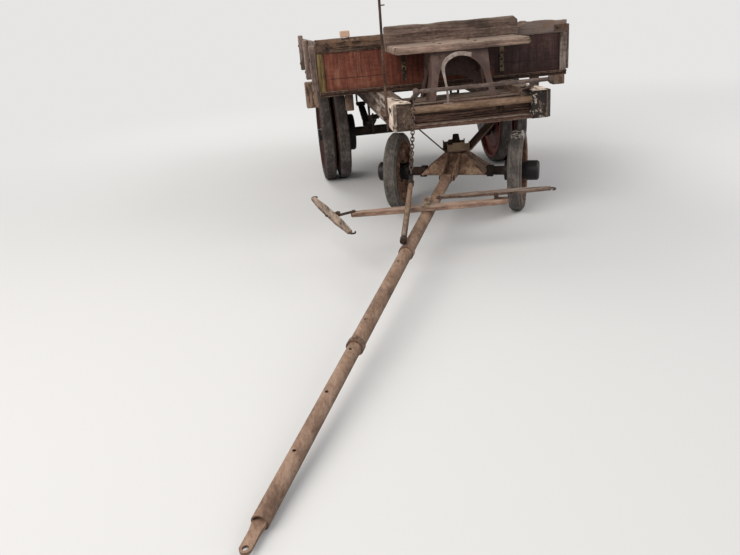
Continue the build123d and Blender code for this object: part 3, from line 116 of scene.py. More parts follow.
# Each lamp's place, size, power and tint
LAMPS = {
    "window_light": ((-5.5, -6.5, 6.0), 6.0, 560, (1.0, 0.95, 0.88)),
    "side_light": ((7.0, -2.5, 5.0), 5.0, 300, (1.0, 0.97, 0.93)),
    "rear_light": ((-3.5, 7.5, 6.5), 5.0, 560, (1.0, 0.96, 0.90)),
}
for name, (place, size, power, tint) in LAMPS.items():
    lamp = bpy.data.objects.new(name, bpy.data.lights.new(name, "AREA"))
    lamp.data.size = size
    lamp.data.energy = power
    lamp.data.color = tint
    aim = (at(*LAMP_AIM) - at(*place)).to_track_quat("-Z", "Y").to_matrix().to_4x4()
    lamp.matrix_world = Matrix.Translation(at(*place)) @ aim
    bpy.context.scene.collection.objects.link(lamp)

world = bpy.data.worlds.new("studio")
world.use_nodes = True
world_tree = world.node_tree
sky = world_tree.nodes["Background"]
sky.inputs["Color"].default_value = (0.95, 0.97, 1.0, 1)
sky.inputs["Strength"].default_value = 0.50
seen = world_tree.nodes.new("ShaderNodeBackground")
seen.inputs["Color"].default_value = BACKDROP
seen.inputs["Strength"].default_value = 1.0
ray = world_tree.nodes.new("ShaderNodeLightPath")
both = world_tree.nodes.new("ShaderNodeMixShader")
world_tree.links.new(ray.outputs["Is Camera Ray"], both.inputs[0])
world_tree.links.new(sky.outputs[0], both.inputs[1])
world_tree.links.new(seen.outputs[0], both.inputs[2])
world_tree.links.new(both.outputs[0], world_tree.nodes["World Output"].inputs[0])
bpy.context.scene.world = world
bpy.context.scene.view_settings.view_transform = "Standard"


def piece_from(name, shape, finish):
    """A new object from a bmesh, with its place in its mesh and one finish."""
    mesh = bpy.data.meshes.new(name)
    shape.to_mesh(mesh)
    shape.free()
    mesh.materials.append(finish)
    piece = bpy.data.objects.new(name, mesh)
    bpy.context.scene.collection.objects.link(piece)
    return piece


FLOOR_SIZE = 160.0
FLOOR_DROP = 0.0005
FADE = (2.6, 8.5)
FADE_MIDDLE = (0, -1.5, 0)
floor_paint = bpy.data.materials.new("floor_paint")
floor_paint.use_nodes = True
floor_tree = floor_paint.node_tree
floor_matt = floor_tree.nodes["Principled BSDF"]
floor_matt.inputs["Base Color"].default_value = PALE
floor_matt.inputs["Roughness"].default_value = 1.0
floor_matt.inputs["Specular IOR Level"].default_value = 0.0
far_tone = floor_tree.nodes.new("ShaderNodeEmission")
far_tone.inputs["Color"].default_value = BACKDROP
far_tone.inputs["Strength"].default_value = 1.0
floor_place = floor_tree.nodes.new("ShaderNodeTexCoord")
off_centre = floor_tree.nodes.new("ShaderNodeVectorMath")
off_centre.operation = "DISTANCE"
off_centre.inputs[1].default_value = at(*FADE_MIDDLE)
floor_fade = floor_tree.nodes.new("ShaderNodeMapRange")
floor_fade.interpolation_type = "SMOOTHSTEP"
floor_fade.inputs[1].default_value, floor_fade.inputs[2].default_value = FADE
floor_ray = floor_tree.nodes.new("ShaderNodeLightPath")
seen_far = floor_tree.nodes.new("ShaderNodeMath")
seen_far.operation = "MULTIPLY"
floor_mix = floor_tree.nodes.new("ShaderNodeMixShader")
floor_tree.links.new(floor_place.outputs["Object"], off_centre.inputs[0])
floor_tree.links.new(off_centre.outputs["Value"], floor_fade.inputs[0])
floor_tree.links.new(floor_fade.outputs[0], seen_far.inputs[0])
floor_tree.links.new(floor_ray.outputs["Is Camera Ray"], seen_far.inputs[1])
floor_tree.links.new(seen_far.outputs[0], floor_mix.inputs[0])
floor_tree.links.new(floor_matt.outputs[0], floor_mix.inputs[1])
floor_tree.links.new(far_tone.outputs[0], floor_mix.inputs[2])
floor_tree.links.new(floor_mix.outputs[0], floor_tree.nodes["Material Output"].inputs[0])
floor_shape = bmesh.new()
floor_at = Matrix.Translation((0, 0, -FLOOR_DROP))
bmesh.ops.create_grid(floor_shape, size=FLOOR_SIZE / 2, matrix=floor_at)
piece_from("floor", floor_shape, floor_paint)


# Sills, beams and ledge
# The frame is sawn oak, grey from years outside: fibres stand up, the faces are checked along the
# grain, and a little black and white paint still peels off both front ends. Edges are worn round.
class Finish:
    """A surface finish being mixed. Each method adds one step and gives what comes out of it."""

    def __init__(self, name, roughness=0.85, metallic=0.0):
        self.material = bpy.data.materials.new(name)
        self.material.use_nodes = True
        self.tree = self.material.node_tree
        self.shader = self.tree.nodes["Principled BSDF"]
        self.shader.inputs["Roughness"].default_value = roughness
        self.shader.inputs["Metallic"].default_value = metallic
        self.shader.inputs["Specular IOR Level"].default_value = 0.28
        self.place = self.step("ShaderNodeTexCoord").outputs["Object"]
        self.surface = self.step("ShaderNodeNewGeometry").outputs["Normal"]
        self.normal = None

    def step(self, kind, values=(), **settings):
        """One shader node with its settings and inputs."""
        node = self.tree.nodes.new(kind)
        for key, value in settings.items():
            setattr(node, key, value)
        for key, value in dict(values).items():
            self.feed(node.inputs[key], value)
        return node

    def feed(self, socket, value):
        """Links an output to an input, or sets the input's own value."""
        if isinstance(value, bpy.types.NodeSocket):
            self.tree.links.new(value, socket)
        elif isinstance(value, (tuple, list)) and len(value) == 3 and socket.type == "RGBA":
            socket.default_value = (*value, 1)
        else:
            socket.default_value = value

    def moved(self, scale, shift=(0, 0, 0)):
        """The object's own coordinates, stretched and shifted."""
        values = {"Vector": self.place, "Scale": scale, "Location": shift}
        return self.step("ShaderNodeMapping", values).outputs[0]

    def cloud(self, size, place=None, detail=3.0, rough=0.55, twist=0.0):
        """Soft noise about 0.5, with lumps of a size in metres."""
        values = {
            "Vector": place or self.place,
            "Scale": 1 / size,
            "Detail": detail,
            "Roughness": rough,
            "Distortion": twist,
        }
        return self.step("ShaderNodeTexNoise", values).outputs["Fac"]

    def cells(self, size, feature="F1"):
        """The distance within cells of a size in metres."""
        values = {"Vector": self.place, "Scale": 1 / size}
        return self.step("ShaderNodeTexVoronoi", values, feature=feature).outputs["Distance"]

    def band(self, value, low, high, first=0.0, last=1.0):
        """Goes smoothly from first to last while a value goes from low to high."""
        values = {0: value, 1: low, 2: high, 3: first, 4: last}
        return self.step("ShaderNodeMapRange", values, interpolation_type="SMOOTHSTEP").outputs[0]

    def maths(self, kind, first, second=0.0):
        return self.step("ShaderNodeMath", {0: first, 1: second}, operation=kind).outputs[0]

    def times(self, first, second):
        return self.maths("MULTIPLY", first, second)

    def plus(self, first, second):
        return self.maths("ADD", first, second)

    def minus(self, first, second):
        return self.maths("SUBTRACT", first, second)

    def gap(self, value, middle):
        """How far a value is from a fixed one."""
        return self.maths("ABSOLUTE", self.minus(value, middle))

    def weighed(self, *parts):
        """The sum of several values, each times its own weight."""
        products = [self.times(value, weight) for value, weight in parts]
        total = products[0]
        for product in products[1:]:
            total = self.plus(total, product)
        return total

    def distance(self, place, point):
        """How far each place is from a fixed point."""
        values = {0: place, 1: point}
        return self.step("ShaderNodeVectorMath", values, operation="DISTANCE").outputs["Value"]

    def mixed(self, share, under, over, kind="MIX"):
        """One color over another by a share from 0 to 1."""
        values = {0: share, 6: under, 7: over}
        node = self.step("ShaderNodeMix", values, data_type="RGBA", blend_type=kind)
        return node.outputs[2]

    def tones(self, value, colors, spots):
        """Three colors, each at its own level of a value."""
        node = self.step("ShaderNodeValToRGB", {0: value})
        ramp = node.color_ramp
        ramp.elements.new(spots[1])
        for element, color, spot in zip(ramp.elements, colors, spots):
            element.position = spot
            element.color = (*color, 1)
        return node.outputs[0]

    def shaded(self, color, shade):
        """A color made lighter or darker by a number."""
        grey = self.step("ShaderNodeCombineColor", {0: shade, 1: shade, 2: shade}).outputs[0]
        return self.mixed(1.0, color, grey, "MULTIPLY")

    def part_of(self, vector, letter):
        """One coordinate of a place or a direction."""
        return self.step("ShaderNodeSeparateXYZ", {0: vector}).outputs[letter]

    def edges(self, width):
        """How near an edge a point is: 1 on the edge and 0 from about that width inwards."""
        bevelled = self.step("ShaderNodeBevel", {"Radius": width}, samples=4).outputs[0]
        values = {0: bevelled, 1: self.surface}
        facing = self.step("ShaderNodeVectorMath", values, operation="DOT_PRODUCT").outputs["Value"]
        return self.band(facing, 0.995, 0.88)

    def relief(self, height, depth):
        """Bumps on top of the ones so far, of a depth in metres."""
        values = {"Height": height, "Distance": depth, "Strength": 1.0}
        if self.normal:
            values["Normal"] = self.normal
        self.normal = self.step("ShaderNodeBump", values).outputs[0]

    def done(self, color, roughness=None):
        """The material, once its color, roughness and bumps are connected."""
        self.feed(self.shader.inputs["Base Color"], color)
        if roughness is not None:
            self.feed(self.shader.inputs["Roughness"], roughness)
        if self.normal:
            self.feed(self.shader.inputs["Normal"], self.normal)
        return self.material


GREY_OAK = ((0.030, 0.018, 0.013), (0.125, 0.080, 0.058), (0.300, 0.215, 0.165))
BLEACHED = (0.40, 0.315, 0.25)
CRACK = (0.010, 0.006, 0.004)


def slowed(along, share):
    """A scale that draws a pattern out along one axis."""
    return [share if axis == along else 1.0 for axis in range(3)]


def grained(finish, along, tones, seed, dust=0.5):
    """Weathered grain along one axis: bands, raised fibres, grit, checks and pale upper faces."""
    run = finish.moved(slowed(along, 0.06), (seed, seed * 1.7, seed * 0.6))
    bands = finish.cloud(0.060, run, detail=2.0, twist=0.8)
    fibres = finish.cloud(0.016, run, detail=5.0, rough=0.75)
    grit = finish.cloud(0.011, finish.moved(slowed(along, 0.35)), detail=4.0, rough=0.8)
    blotches = finish.cloud(0.32, detail=4.0, rough=0.6)
    height = finish.weighed((bands, 0.30), (fibres, 0.42), (grit, 0.28))
    color = finish.tones(height, tones, (0.39, 0.50, 0.62))
    color = finish.shaded(color, finish.band(blotches, 0.32, 0.68, 0.58, 1.28))
    check_run = finish.moved(slowed(along, 0.016), (seed + 3.1, seed, seed))
    checks = finish.cloud(0.045, check_run, detail=3.0, rough=0.65)
    line = finish.band(finish.gap(checks, 0.5), 0.024, 0.006)
    where = finish.band(finish.cloud(0.22, run, detail=1.0), 0.44, 0.56)
    checks = finish.times(line, where)
    color = finish.mixed(finish.times(checks, 0.9), color, CRACK)
    upward = finish.band(finish.part_of(finish.surface, "Z"), 0.55, 0.98, 0.0, dust)
    dusty = finish.times(upward, finish.band(fibres, 0.35, 0.62))
    color = finish.mixed(dusty, color, BLEACHED)
    worn = finish.times(finish.edges(0.007), finish.band(finish.cloud(0.03), 0.40, 0.60))
    color = finish.mixed(finish.times(worn, 0.55), color, BLEACHED)
    finish.relief(height, 0.0030)
    finish.relief(finish.minus(1.0, checks), 0.0035)
    return color


def weathered(name, along, tones, seed):
    """A bare weathered timber's whole finish."""
    finish = Finish(name, 0.9)
    return finish.done(grained(finish, along, tones, seed))


def peeled(finish, under, paint, cover, size, stretch, share):
    """Old paint left in flakes: it covers the wood where a noise is above the level cover."""
    flakes = finish.cloud(size, finish.moved(stretch), detail=6.0, rough=0.75)
    flakes = finish.times(finish.band(flakes, cover, cover + 0.025), share)
    finish.relief(flakes, 0.0008)
    return finish.mixed(flakes, under, paint)


def dress(name, finish):
    """Give a carried-over part its finish."""
    nodes[name].data.materials.clear()
    nodes[name].data.materials.append(finish)


ROUND_OFF = 0.006
TOP_EDGE = 0.012
# Without a seed, noise_vector starts from the clock and wears the timbers otherwise each run.
noise.seed_set(1)


def worn_copy(name, finish, along, step, seed, wear=0.0022, ragged=0.0):
    """A timber's copy, cut into lengths, with rounded edges, uneven faces and a ragged top edge."""
    low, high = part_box(name)
    shape = bmesh.new()
    shape.from_mesh(nodes[name].data)
    bmesh.ops.remove_doubles(shape, verts=shape.verts, dist=0.00005)
    bmesh.ops.dissolve_limit(
        shape, angle_limit=math.radians(1), verts=shape.verts, edges=shape.edges
    )
    chance = random.Random(seed)
    cuts = max(2, int((high[along] - low[along]) / step))
    normal = [0, 0, 0]
    normal[along] = 1
    for i in range(1, cuts):
        spot = [0, 0, 0]
        share = (i + chance.uniform(-0.3, 0.3)) / cuts
        spot[along] = low[along] + (high[along] - low[along]) * share
        geometry = shape.verts[:] + shape.edges[:] + shape.faces[:]
        bmesh.ops.bisect_plane(shape, geom=geometry, plane_co=spot, plane_no=normal)
    sharp = [e for e in shape.edges if e.is_manifold and e.calc_face_angle() > math.radians(30)]
    bmesh.ops.bevel(
        shape, geom=sharp, offset=ROUND_OFF, segments=2, profile=0.5, affect="EDGES", material=-1
    )
    bmesh.ops.triangulate(shape, faces=[f for f in shape.faces if len(f.verts) > 4])
    slow = Vector(slowed(along, 0.35))
    for vert in shape.verts:
        spot = Vector(a * b for a, b in zip(vert.co, slow)) * 16 + Vector((seed * 7.3, 0, 0))
        vert.co += noise.noise_vector(spot) * wear
        if vert.co.z > high.z - TOP_EDGE:
            bite = noise.noise((vert.co.x * 5.5, vert.co.y * 30, seed)) + 0.15
            vert.co.z -= ragged * max(0.0, bite)
    piece = piece_from(name + "_worn", shape, finish)
    piece.data.shade_smooth()
    piece.data.set_sharp_from_angle(angle=math.radians(40))
    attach(piece, nodes[name]["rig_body"])
    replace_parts(piece, name)
    return piece


WHITE_PAINT = (0.46, 0.40, 0.35)
BLACK_PAINT = (0.030, 0.024, 0.021)
END_GRIME = (0.040, 0.029, 0.023)
SILL_OUTSIDE = (0.520, 0.536)


def sill_oak(name, side, seed):
    """A sill's oak: nearly black painted shade under its corner iron, grimy and peeling at its
    front end.
    """
    oak = Finish(name, 0.9)
    color = grained(oak, 1, GREY_OAK, seed)
    along = oak.part_of(oak.place, "Y")
    aside = oak.part_of(oak.place, "X")
    out = oak.band(aside, *(origin.x + side * x for x in SILL_OUTSIDE))
    end = oak.band(along, origin.y - 1.70, origin.y - 1.80)
    if side < 0:
        streaks = oak.times(oak.band(along, origin.y - 0.4, origin.y - 1.2), 0.75)
        streaks = oak.times(streaks, out)
        color = peeled(oak, color, WHITE_PAINT, 0.535, 0.050, (1.0, 0.14, 1.0), streaks)
        ahead = oak.band(oak.part_of(oak.surface, "Y"), -0.5, -0.9)
        grime = oak.band(oak.cloud(0.07, detail=5.0, rough=0.7), 0.44, 0.58, 0.05, 0.70)
        color = oak.mixed(oak.times(grime, ahead), color, END_GRIME)
    else:
        color = peeled(oak, color, BLACK_PAINT, 0.41, 0.060, (1, 0.6, 1), end)
        color = peeled(oak, color, WHITE_PAINT, 0.560, 0.036, (1, 0.6, 1), end)
    # Painted shade: where the corner iron's side and top plates lie, the wood is made nearly black.
    under_iron_shade = oak.times(out, oak.band(along, origin.y - 1.605, origin.y - 1.625))
    above = oak.band(oak.part_of(oak.surface, "Z"), 0.5, 0.9)
    above = oak.times(above, oak.band(along, origin.y - 1.530, origin.y - 1.550))
    return oak.done(oak.mixed(oak.maths("MAXIMUM", under_iron_shade, above), color, CRACK))


for side, way, seed in (("right", -1, 1), ("left", 1, 4)):
    oak = sill_oak(f"sill_oak_{side}", way, seed)
    worn_copy(f"sill_{side}", oak, 1, 0.06, seed=seed)

BEAM_OAK = ((0.018, 0.009, 0.006), (0.086, 0.046, 0.034), (0.230, 0.145, 0.108))
beam_oak = weathered("beam_oak", 0, BEAM_OAK, 2.0)
for name in ("front_beam", "ledge_plank"):
    worn_copy(name, beam_oak, 0, 0.05, wear=0.003, seed=3)
dress("cross_beams", beam_oak)


# Iron
# Every strap, pin, spring and forging is mild steel or cast iron that has stood in the open: dark
# brown scale with brighter rust on its edges and in its pits, and paint only where it held.
RUST = ((0.028, 0.015, 0.010), (0.090, 0.042, 0.025), (0.230, 0.105, 0.050))


def rusted(finish, tones, pit=0.004):
    """Bare rust: broad patches, pits and brighter worn edges."""
    patches = finish.cloud(0.11, detail=6.0, rough=0.70)
    pits = finish.cloud(pit, detail=3.0, rough=0.7)
    level = finish.weighed((patches, 0.7), (pits, 0.3))
    color = finish.tones(level, tones, (0.38, 0.50, 0.64))
    worn = finish.times(finish.edges(0.0035), finish.band(pits, 0.30, 0.60))
    color = finish.mixed(finish.times(worn, 0.6), color, tones[2])
    finish.relief(pits, 0.0008)
    return color


def painted_iron(name, paint, cover, rust, gloss=0.62, pit=0.004, spread=0.075, shade=None):
    """Iron with old paint on it: the paint covers more of it as cover goes down."""
    finish = Finish(name)
    bare = rusted(finish, rust, pit)
    flakes = finish.cloud(spread, detail=6.0, rough=0.72)
    worn = finish.times(finish.edges(0.003), 0.10)
    flakes = finish.band(finish.minus(flakes, worn), cover, cover + 0.035)
    fade = finish.band(finish.cloud(0.12, detail=4.0, rough=0.65), 0.34, 0.66, 0.68, 1.24)
    coat = finish.shaded(paint, fade)
    finish.relief(flakes, 0.0005)
    color = finish.mixed(flakes, bare, coat)
    if shade:
        color = shade(finish, color)
    return finish.done(color, finish.band(flakes, 0.0, 1.0, 0.92, gloss))


def scoured(name, tones, stretch=(1, 1, 1), rust=0.25, shade=None):
    """Thin paint scoured to a soft mottle, with small rust stains and pale rubbed edges."""
    finish = Finish(name, 0.72)
    run = finish.moved(stretch)
    soft = finish.cloud(0.085, run, detail=6.0, rough=0.68)
    fine = finish.cloud(0.012, run, detail=4.0, rough=0.75)
    level = finish.weighed((soft, 0.58), (fine, 0.42))
    color = finish.tones(level, tones, (0.38, 0.50, 0.63))
    stains = finish.band(finish.cloud(0.028, detail=4.0, rough=0.7), 0.58, 0.66, 0.0, rust)
    color = finish.mixed(stains, color, RUST[1])
    rubbed = finish.times(finish.edges(0.003), finish.band(fine, 0.38, 0.60))
    color = finish.mixed(finish.times(rubbed, 0.6), color, tones[2])
    if shade:
        color = shade(finish, color)
    finish.relief(level, 0.0014)
    return finish.done(color)


def bare_iron(name, tones):
    """Iron with no paint left."""
    finish = Finish(name, 0.82, 0.25)
    return finish.done(rusted(finish, tones))


DARK = ((0.007, 0.005, 0.004), (0.024, 0.016, 0.012), (0.085, 0.050, 0.035))
BROWN = ((0.018, 0.011, 0.008), (0.062, 0.037, 0.027), (0.160, 0.098, 0.070))
dark_iron = bare_iron("dark_iron", DARK)
rust_iron = bare_iron("rust_iron", RUST)
brown_iron = bare_iron("brown_iron", BROWN)
DARK_PARTS = (
    "brake_gear",
    "rear_axle",
    "rear_springs",
    "spring_hangers",
    "front_axle",
    "king_bolt",
)
for name in DARK_PARTS:
    dress(name, dark_iron)


def add_bolt(shape, place, axis, radius, height, sides):
    """One bolt head or nut standing on a face, added to a bmesh: domed if it has no sides."""
    turn = Vector(axis).normalized().to_track_quat("Z", "Y").to_matrix().to_4x4()
    matrix = Matrix.Translation(Vector(place)) @ turn
    if sides:
        bmesh.ops.create_cone(
            shape,
            cap_ends=True,
            segments=sides,
            radius1=radius,
            radius2=radius * 0.92,
            depth=height,
            matrix=matrix @ Matrix.Translation((0, 0, height / 2)),
        )
    else:
        flat = Matrix.Diagonal((1, 1, height / radius, 1))
        bmesh.ops.create_uvsphere(
            shape, u_segments=12, v_segments=8, radius=radius, matrix=matrix @ flat
        )


def bolts(name, spots, axis, radius, height, body, finish, sides=6):
    """Like bolt heads as one piece. With no common axis, each spot is a place and its own axis."""
    shape = bmesh.new()
    for spot in spots:
        place, way = (spot, axis) if axis else spot
        add_bolt(shape, place, way, radius, height, sides)
    piece = piece_from(name, shape, finish)
    if not sides:
        piece.data.shade_smooth()
    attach(piece, body)


def add_slab(shape, matrix, size, ease=0.0015):
    """One flat bar or block with eased edges, added to a bmesh."""
    made = bmesh.ops.create_cube(shape, size=1, matrix=matrix @ Matrix.Diagonal((*size, 1)))
    edges = {edge for vert in made["verts"] for edge in vert.link_edges}
    bmesh.ops.bevel(
        shape, geom=list(edges), offset=ease, segments=2, profile=0.5, affect="EDGES", material=-1
    )


def ring(matrix, radius, count, x):
    """Places round a wheel's or hub's own X axis, on a circle."""
    spots = []
    for i in range(count):
        angle = 2 * math.pi * i / count
        spots.append(matrix @ Vector((x, radius * math.cos(angle), radius * math.sin(angle))))
    return spots


SILL_FACE = 0.5455
SILL_BOLT_Z = 0.80
SILL_BOLT_Y = (-1.56, -1.40, -1.30, 0.30, 1.18)
frame_bolts = []
for side in (-1, 1):
    for y in SILL_BOLT_Y:
        frame_bolts.append((at(side * SILL_FACE, y, SILL_BOLT_Z), (side, 0, 0)))
bolts("frame_bolts", frame_bolts, None, 0.017, 0.008, "chassis", rust_iron, sides=0)

# Corner irons
# Each sill's front end is boxed by a bent plate with three slots on top and one in its side. Cream
# paint is left on both plates, with dark stains round the slots and rust along the bends.
# Their forward faces are darkened with painted shade.
CREAM = (0.74, 0.60, 0.49)
SHADE_BROWN = (0.085, 0.060, 0.047)
CORNER_SLOTS = ((0.479, -1.788), (0.491, -1.690), (0.503, -1.592))
STAIN_STRETCH = (1.0, 0.42, 0.0)
STAIN = (0.018, 0.013, 0.010)


def forward_shade_and_slot_stains(finish, color):
    """Painted shade, in patches, on forward faces; near black on the left iron, partly its black
    paint. Stains round the slots.
    """
    # Painted shade: forward faces are darkened in patches, and nearly black on the left iron.
    ahead = finish.band(finish.part_of(finish.surface, "Y"), -0.45, -0.85)
    patches = finish.band(finish.cloud(0.045, detail=5.0, rough=0.7), 0.40, 0.56, 0.45, 0.92)
    color = finish.mixed(finish.times(ahead, patches), color, SHADE_BROWN)
    left = finish.band(finish.part_of(finish.place, "X"), origin.x, origin.x + 0.1, 0.0, 0.85)
    color = finish.mixed(finish.times(ahead, left), color, END_GRIME)
    upward = finish.band(finish.part_of(finish.surface, "Z"), 0.5, 0.9)
    flat = finish.moved(STAIN_STRETCH)
    for side in (-1, 1):
        for x, y in CORNER_SLOTS:
            middle = [a * b for a, b in zip(at(side * x, y, 0), STAIN_STRETCH)]
            stain = finish.band(finish.distance(flat, middle), 0.0155, 0.0120, 0.0, 0.95)
            color = finish.mixed(finish.times(stain, upward), color, STAIN)
    return color


dress("corner_irons", painted_iron("corner_cream", CREAM, 0.44, BROWN, shade=forward_shade_and_slot_stains))

# Foot rest
# A stout tube rests across the sills, and a thin bar ahead of it is carried by two flat arms. The
# tube is polished by boots to a pale tan, and the thin bar ends in round knobs.
TUBE_TAN = ((0.088, 0.052, 0.033), (0.186, 0.114, 0.071), (0.320, 0.220, 0.150))
RAIL_GREY = ((0.040, 0.027, 0.023), (0.098, 0.067, 0.057), (0.215, 0.160, 0.135))
dress("foot_bar", scoured("foot_bar_tan", TUBE_TAN, (0.3, 1, 1)))
dress("foot_rail", scoured("foot_rail_grey", RAIL_GREY, (0.4, 1, 1), 0.4))

# Chain
# Short welded links of 8 mm wire hang from the right arm towards the stay rod. Each is a round bar
# bent to a slot shape and turned a quarter from the one above. The last two ride on the pole.
CHAIN_WIRE = 0.0080
CHAIN_PITCH = 0.0242
CHAIN_INNER = 0.0245
CHAIN_WIDE = 0.030
WIRE_SIDES = 8
LINK_STEPS = 20
CHAIN_TOP = at(-0.418, -1.893, 0.868)
CHAIN_AIM = at(-0.498, -2.104, 0.462)
CHAIN_PARTED_Z = 0.512
chain_down = (CHAIN_AIM - CHAIN_TOP).normalized()
link_half = (CHAIN_INNER + CHAIN_WIRE) / 2
link_round = (CHAIN_WIDE - CHAIN_WIRE) / 2


def add_link(shape, matrix):
    """One link: a ring of round bar, stretched to a slot shape."""
    wire = bmesh.ops.create_circle(shape, segments=WIRE_SIDES, radius=CHAIN_WIRE / 2)["verts"]
    bmesh.ops.rotate(shape, verts=wire, matrix=Matrix.Rotation(math.pi / 2, 3, "X"))
    bmesh.ops.translate(shape, verts=wire, vec=(link_round, 0, 0))
    edges = [e for e in shape.edges if e.verts[0] in wire and e.verts[1] in wire]
    turned = bmesh.ops.spin(
        shape,
        geom=edges,
        cent=(0, 0, 0),
        axis=(0, 0, 1),
        angle=2 * math.pi,
        steps=LINK_STEPS,
        use_merge=True,
    )
    fresh = {v for v in turned["geom_last"] if isinstance(v, bmesh.types.BMVert)} | set(wire)
    todo = list(fresh)
    while todo:
        vert = todo.pop()
        for edge in vert.link_edges:
            other = edge.other_vert(vert)
            if other not in fresh:
                fresh.add(other)
                todo.append(other)
    straight = link_half - link_round
    for vert in fresh:
        vert.co.y += straight * max(-1.0, min(1.0, vert.co.y / (link_round * 0.5)))
        vert.co = matrix @ vert.co


def link_frame(number):
    """The frame of the link that is so many pitches down, with its length along the chain."""
    across = Vector((0, 0, 1)).cross(chain_down).normalized()
    flat = across if number % 2 else across.cross(chain_down)
    place = CHAIN_TOP + chain_down * number * CHAIN_PITCH
    return basis(chain_down.cross(flat) * -1, chain_down, flat, place)


def links(name, numbers, body):
    """A run of links as one piece."""
    shape = bmesh.new()
    for number in numbers:
        add_link(shape, link_frame(number))
    piece = piece_from(name, shape, chain_iron)
    piece.data.shade_smooth()
    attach(piece, body)
    return piece


CHAIN_TONES = ((0.026, 0.018, 0.014), (0.080, 0.053, 0.042), (0.190, 0.135, 0.108))
chain_iron = bare_iron("chain_iron", CHAIN_TONES)
link_count = int((CHAIN_TOP.z - CHAIN_PARTED_Z) / (-chain_down.z * CHAIN_PITCH))
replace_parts(links("chain_links", range(link_count), "chassis"), "stay_chain")
links("chain_last_links", range(link_count, link_count + 2), "pole")

# Driver's seat
# A hollow cast pedestal on four flared legs carries one thick plank and a back board. The casting
# keeps a purple-brown coat over rust; the boards are grey and split, the plank pale on its edge.
MAROON = (0.102, 0.065, 0.056)
CAST_RUST = ((0.030, 0.017, 0.014), (0.090, 0.046, 0.033), (0.170, 0.095, 0.066))
dress("seat_pedestal", painted_iron("pedestal_maroon", MAROON, 0.42, CAST_RUST, pit=0.007))
BACK_TONES = ((0.036, 0.022, 0.017), (0.130, 0.087, 0.069), (0.290, 0.215, 0.175))
PLANK_TONES = ((0.085, 0.054, 0.041), (0.235, 0.158, 0.124), (0.420, 0.310, 0.245))
back_finish = Finish("back_oak", 0.9)
back_color = grained(back_finish, 0, BACK_TONES, 6.0)
back_low, back_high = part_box("seat_back")
back_up = back_finish.part_of(back_finish.place, "Z")
# Painted shade: the back board is darkened towards its top.
back_painted_shade = back_finish.band(back_up, back_low.z + 0.09, back_high.z - 0.01, 1.0, 0.70)
back_oak = back_finish.done(back_finish.shaded(back_color, back_painted_shade))
plank_oak = weathered("plank_oak", 0, PLANK_TONES, 7.0)
worn_copy("seat_board", plank_oak, 0, 0.045, wear=0.003, seed=5)
worn_copy("seat_back", back_oak, 0, 0.040, wear=0.003, seed=6, ragged=0.012)
SEAT_TOP = 1.2545
UPWARD = (0, 0, 1)
seat_bolts = [at(x, y, SEAT_TOP) for x in (-0.12, 0.14) for y in (-1.455, -1.255)]
bolts("seat_bolts", seat_bolts, UPWARD, 0.013, 0.005, "chassis", rust_iron, sides=0)

# Foot lever
# A flat bar that rises from the front beam and curls over to the left like a crook, bare grey
# where the foot has rubbed it.
LEVER_GREY = ((0.110, 0.080, 0.070), (0.270, 0.215, 0.190), (0.420, 0.350, 0.310))
dress("foot_lever", scoured("lever_grey", LEVER_GREY, rust=0.35))

# Brake lever
# A tall round rod with a flattened foot on the right sill, rusty brown all over.
dress("brake_lever", brown_iron)

# King bolt's hanger and cradle
# A wide strap is bent to a flat-bottomed V under the bolster. A channel in worn olive paint sits in
# it about the king bolt's head, over the truck's apron.
HANGER = ((0.050, 0.028, 0.019), (0.140, 0.083, 0.057), (0.260, 0.170, 0.120))
dress("king_hanger", scoured("hanger_brown", HANGER, rust=0.4))
CRADLE_GREEN = (0.190, 0.130, 0.080)
dress("king_cradle", painted_iron("cradle_green", CRADLE_GREEN, 0.36, BROWN))

# Apron and pole socket
# Pressed plate over the front axle, dull ochre with red rust near its top and small rust stains,
# and two cheeks down its front that hold the pole's hinge pin.
OCHRE = ((0.086, 0.048, 0.030), (0.230, 0.142, 0.092), (0.380, 0.262, 0.182))
APRON_RED = (0.075, 0.028, 0.017)


def reddened(finish, color):
    """Redder and darker towards the apron's top."""
    height = finish.part_of(finish.place, "Z")
    share = finish.band(finish.plus(height, finish.cloud(0.05)), 0.86, 1.00, 0.0, 0.75)
    return finish.mixed(share, color, APRON_RED)


dress("apron", scoured("apron_ochre", OCHRE, rust=0.45, shade=reddened))
dress("pole_socket", scoured("socket_ochre", OCHRE, rust=0.3))
PIN_HALF = 0.048
pin_nuts = [(pole @ Vector((side * PIN_HALF, 0, 0)), truck_x * side) for side in (-1, 1)]
bolts("hinge_nuts", pin_nuts, None, 0.020, 0.008, "front_truck", dark_iron)

# Rear wheels
# Twin solid rubber tyres on pressed discs, two to a hub. The rubber is grey and dusty with fine
# cracks, the discs dark red over rust, and the hub and its drum black with oil.
PEELED = ((0.70, 0.64, 0.58), (0.30, 0.26, 0.23), (0.035, 0.030, 0.026))


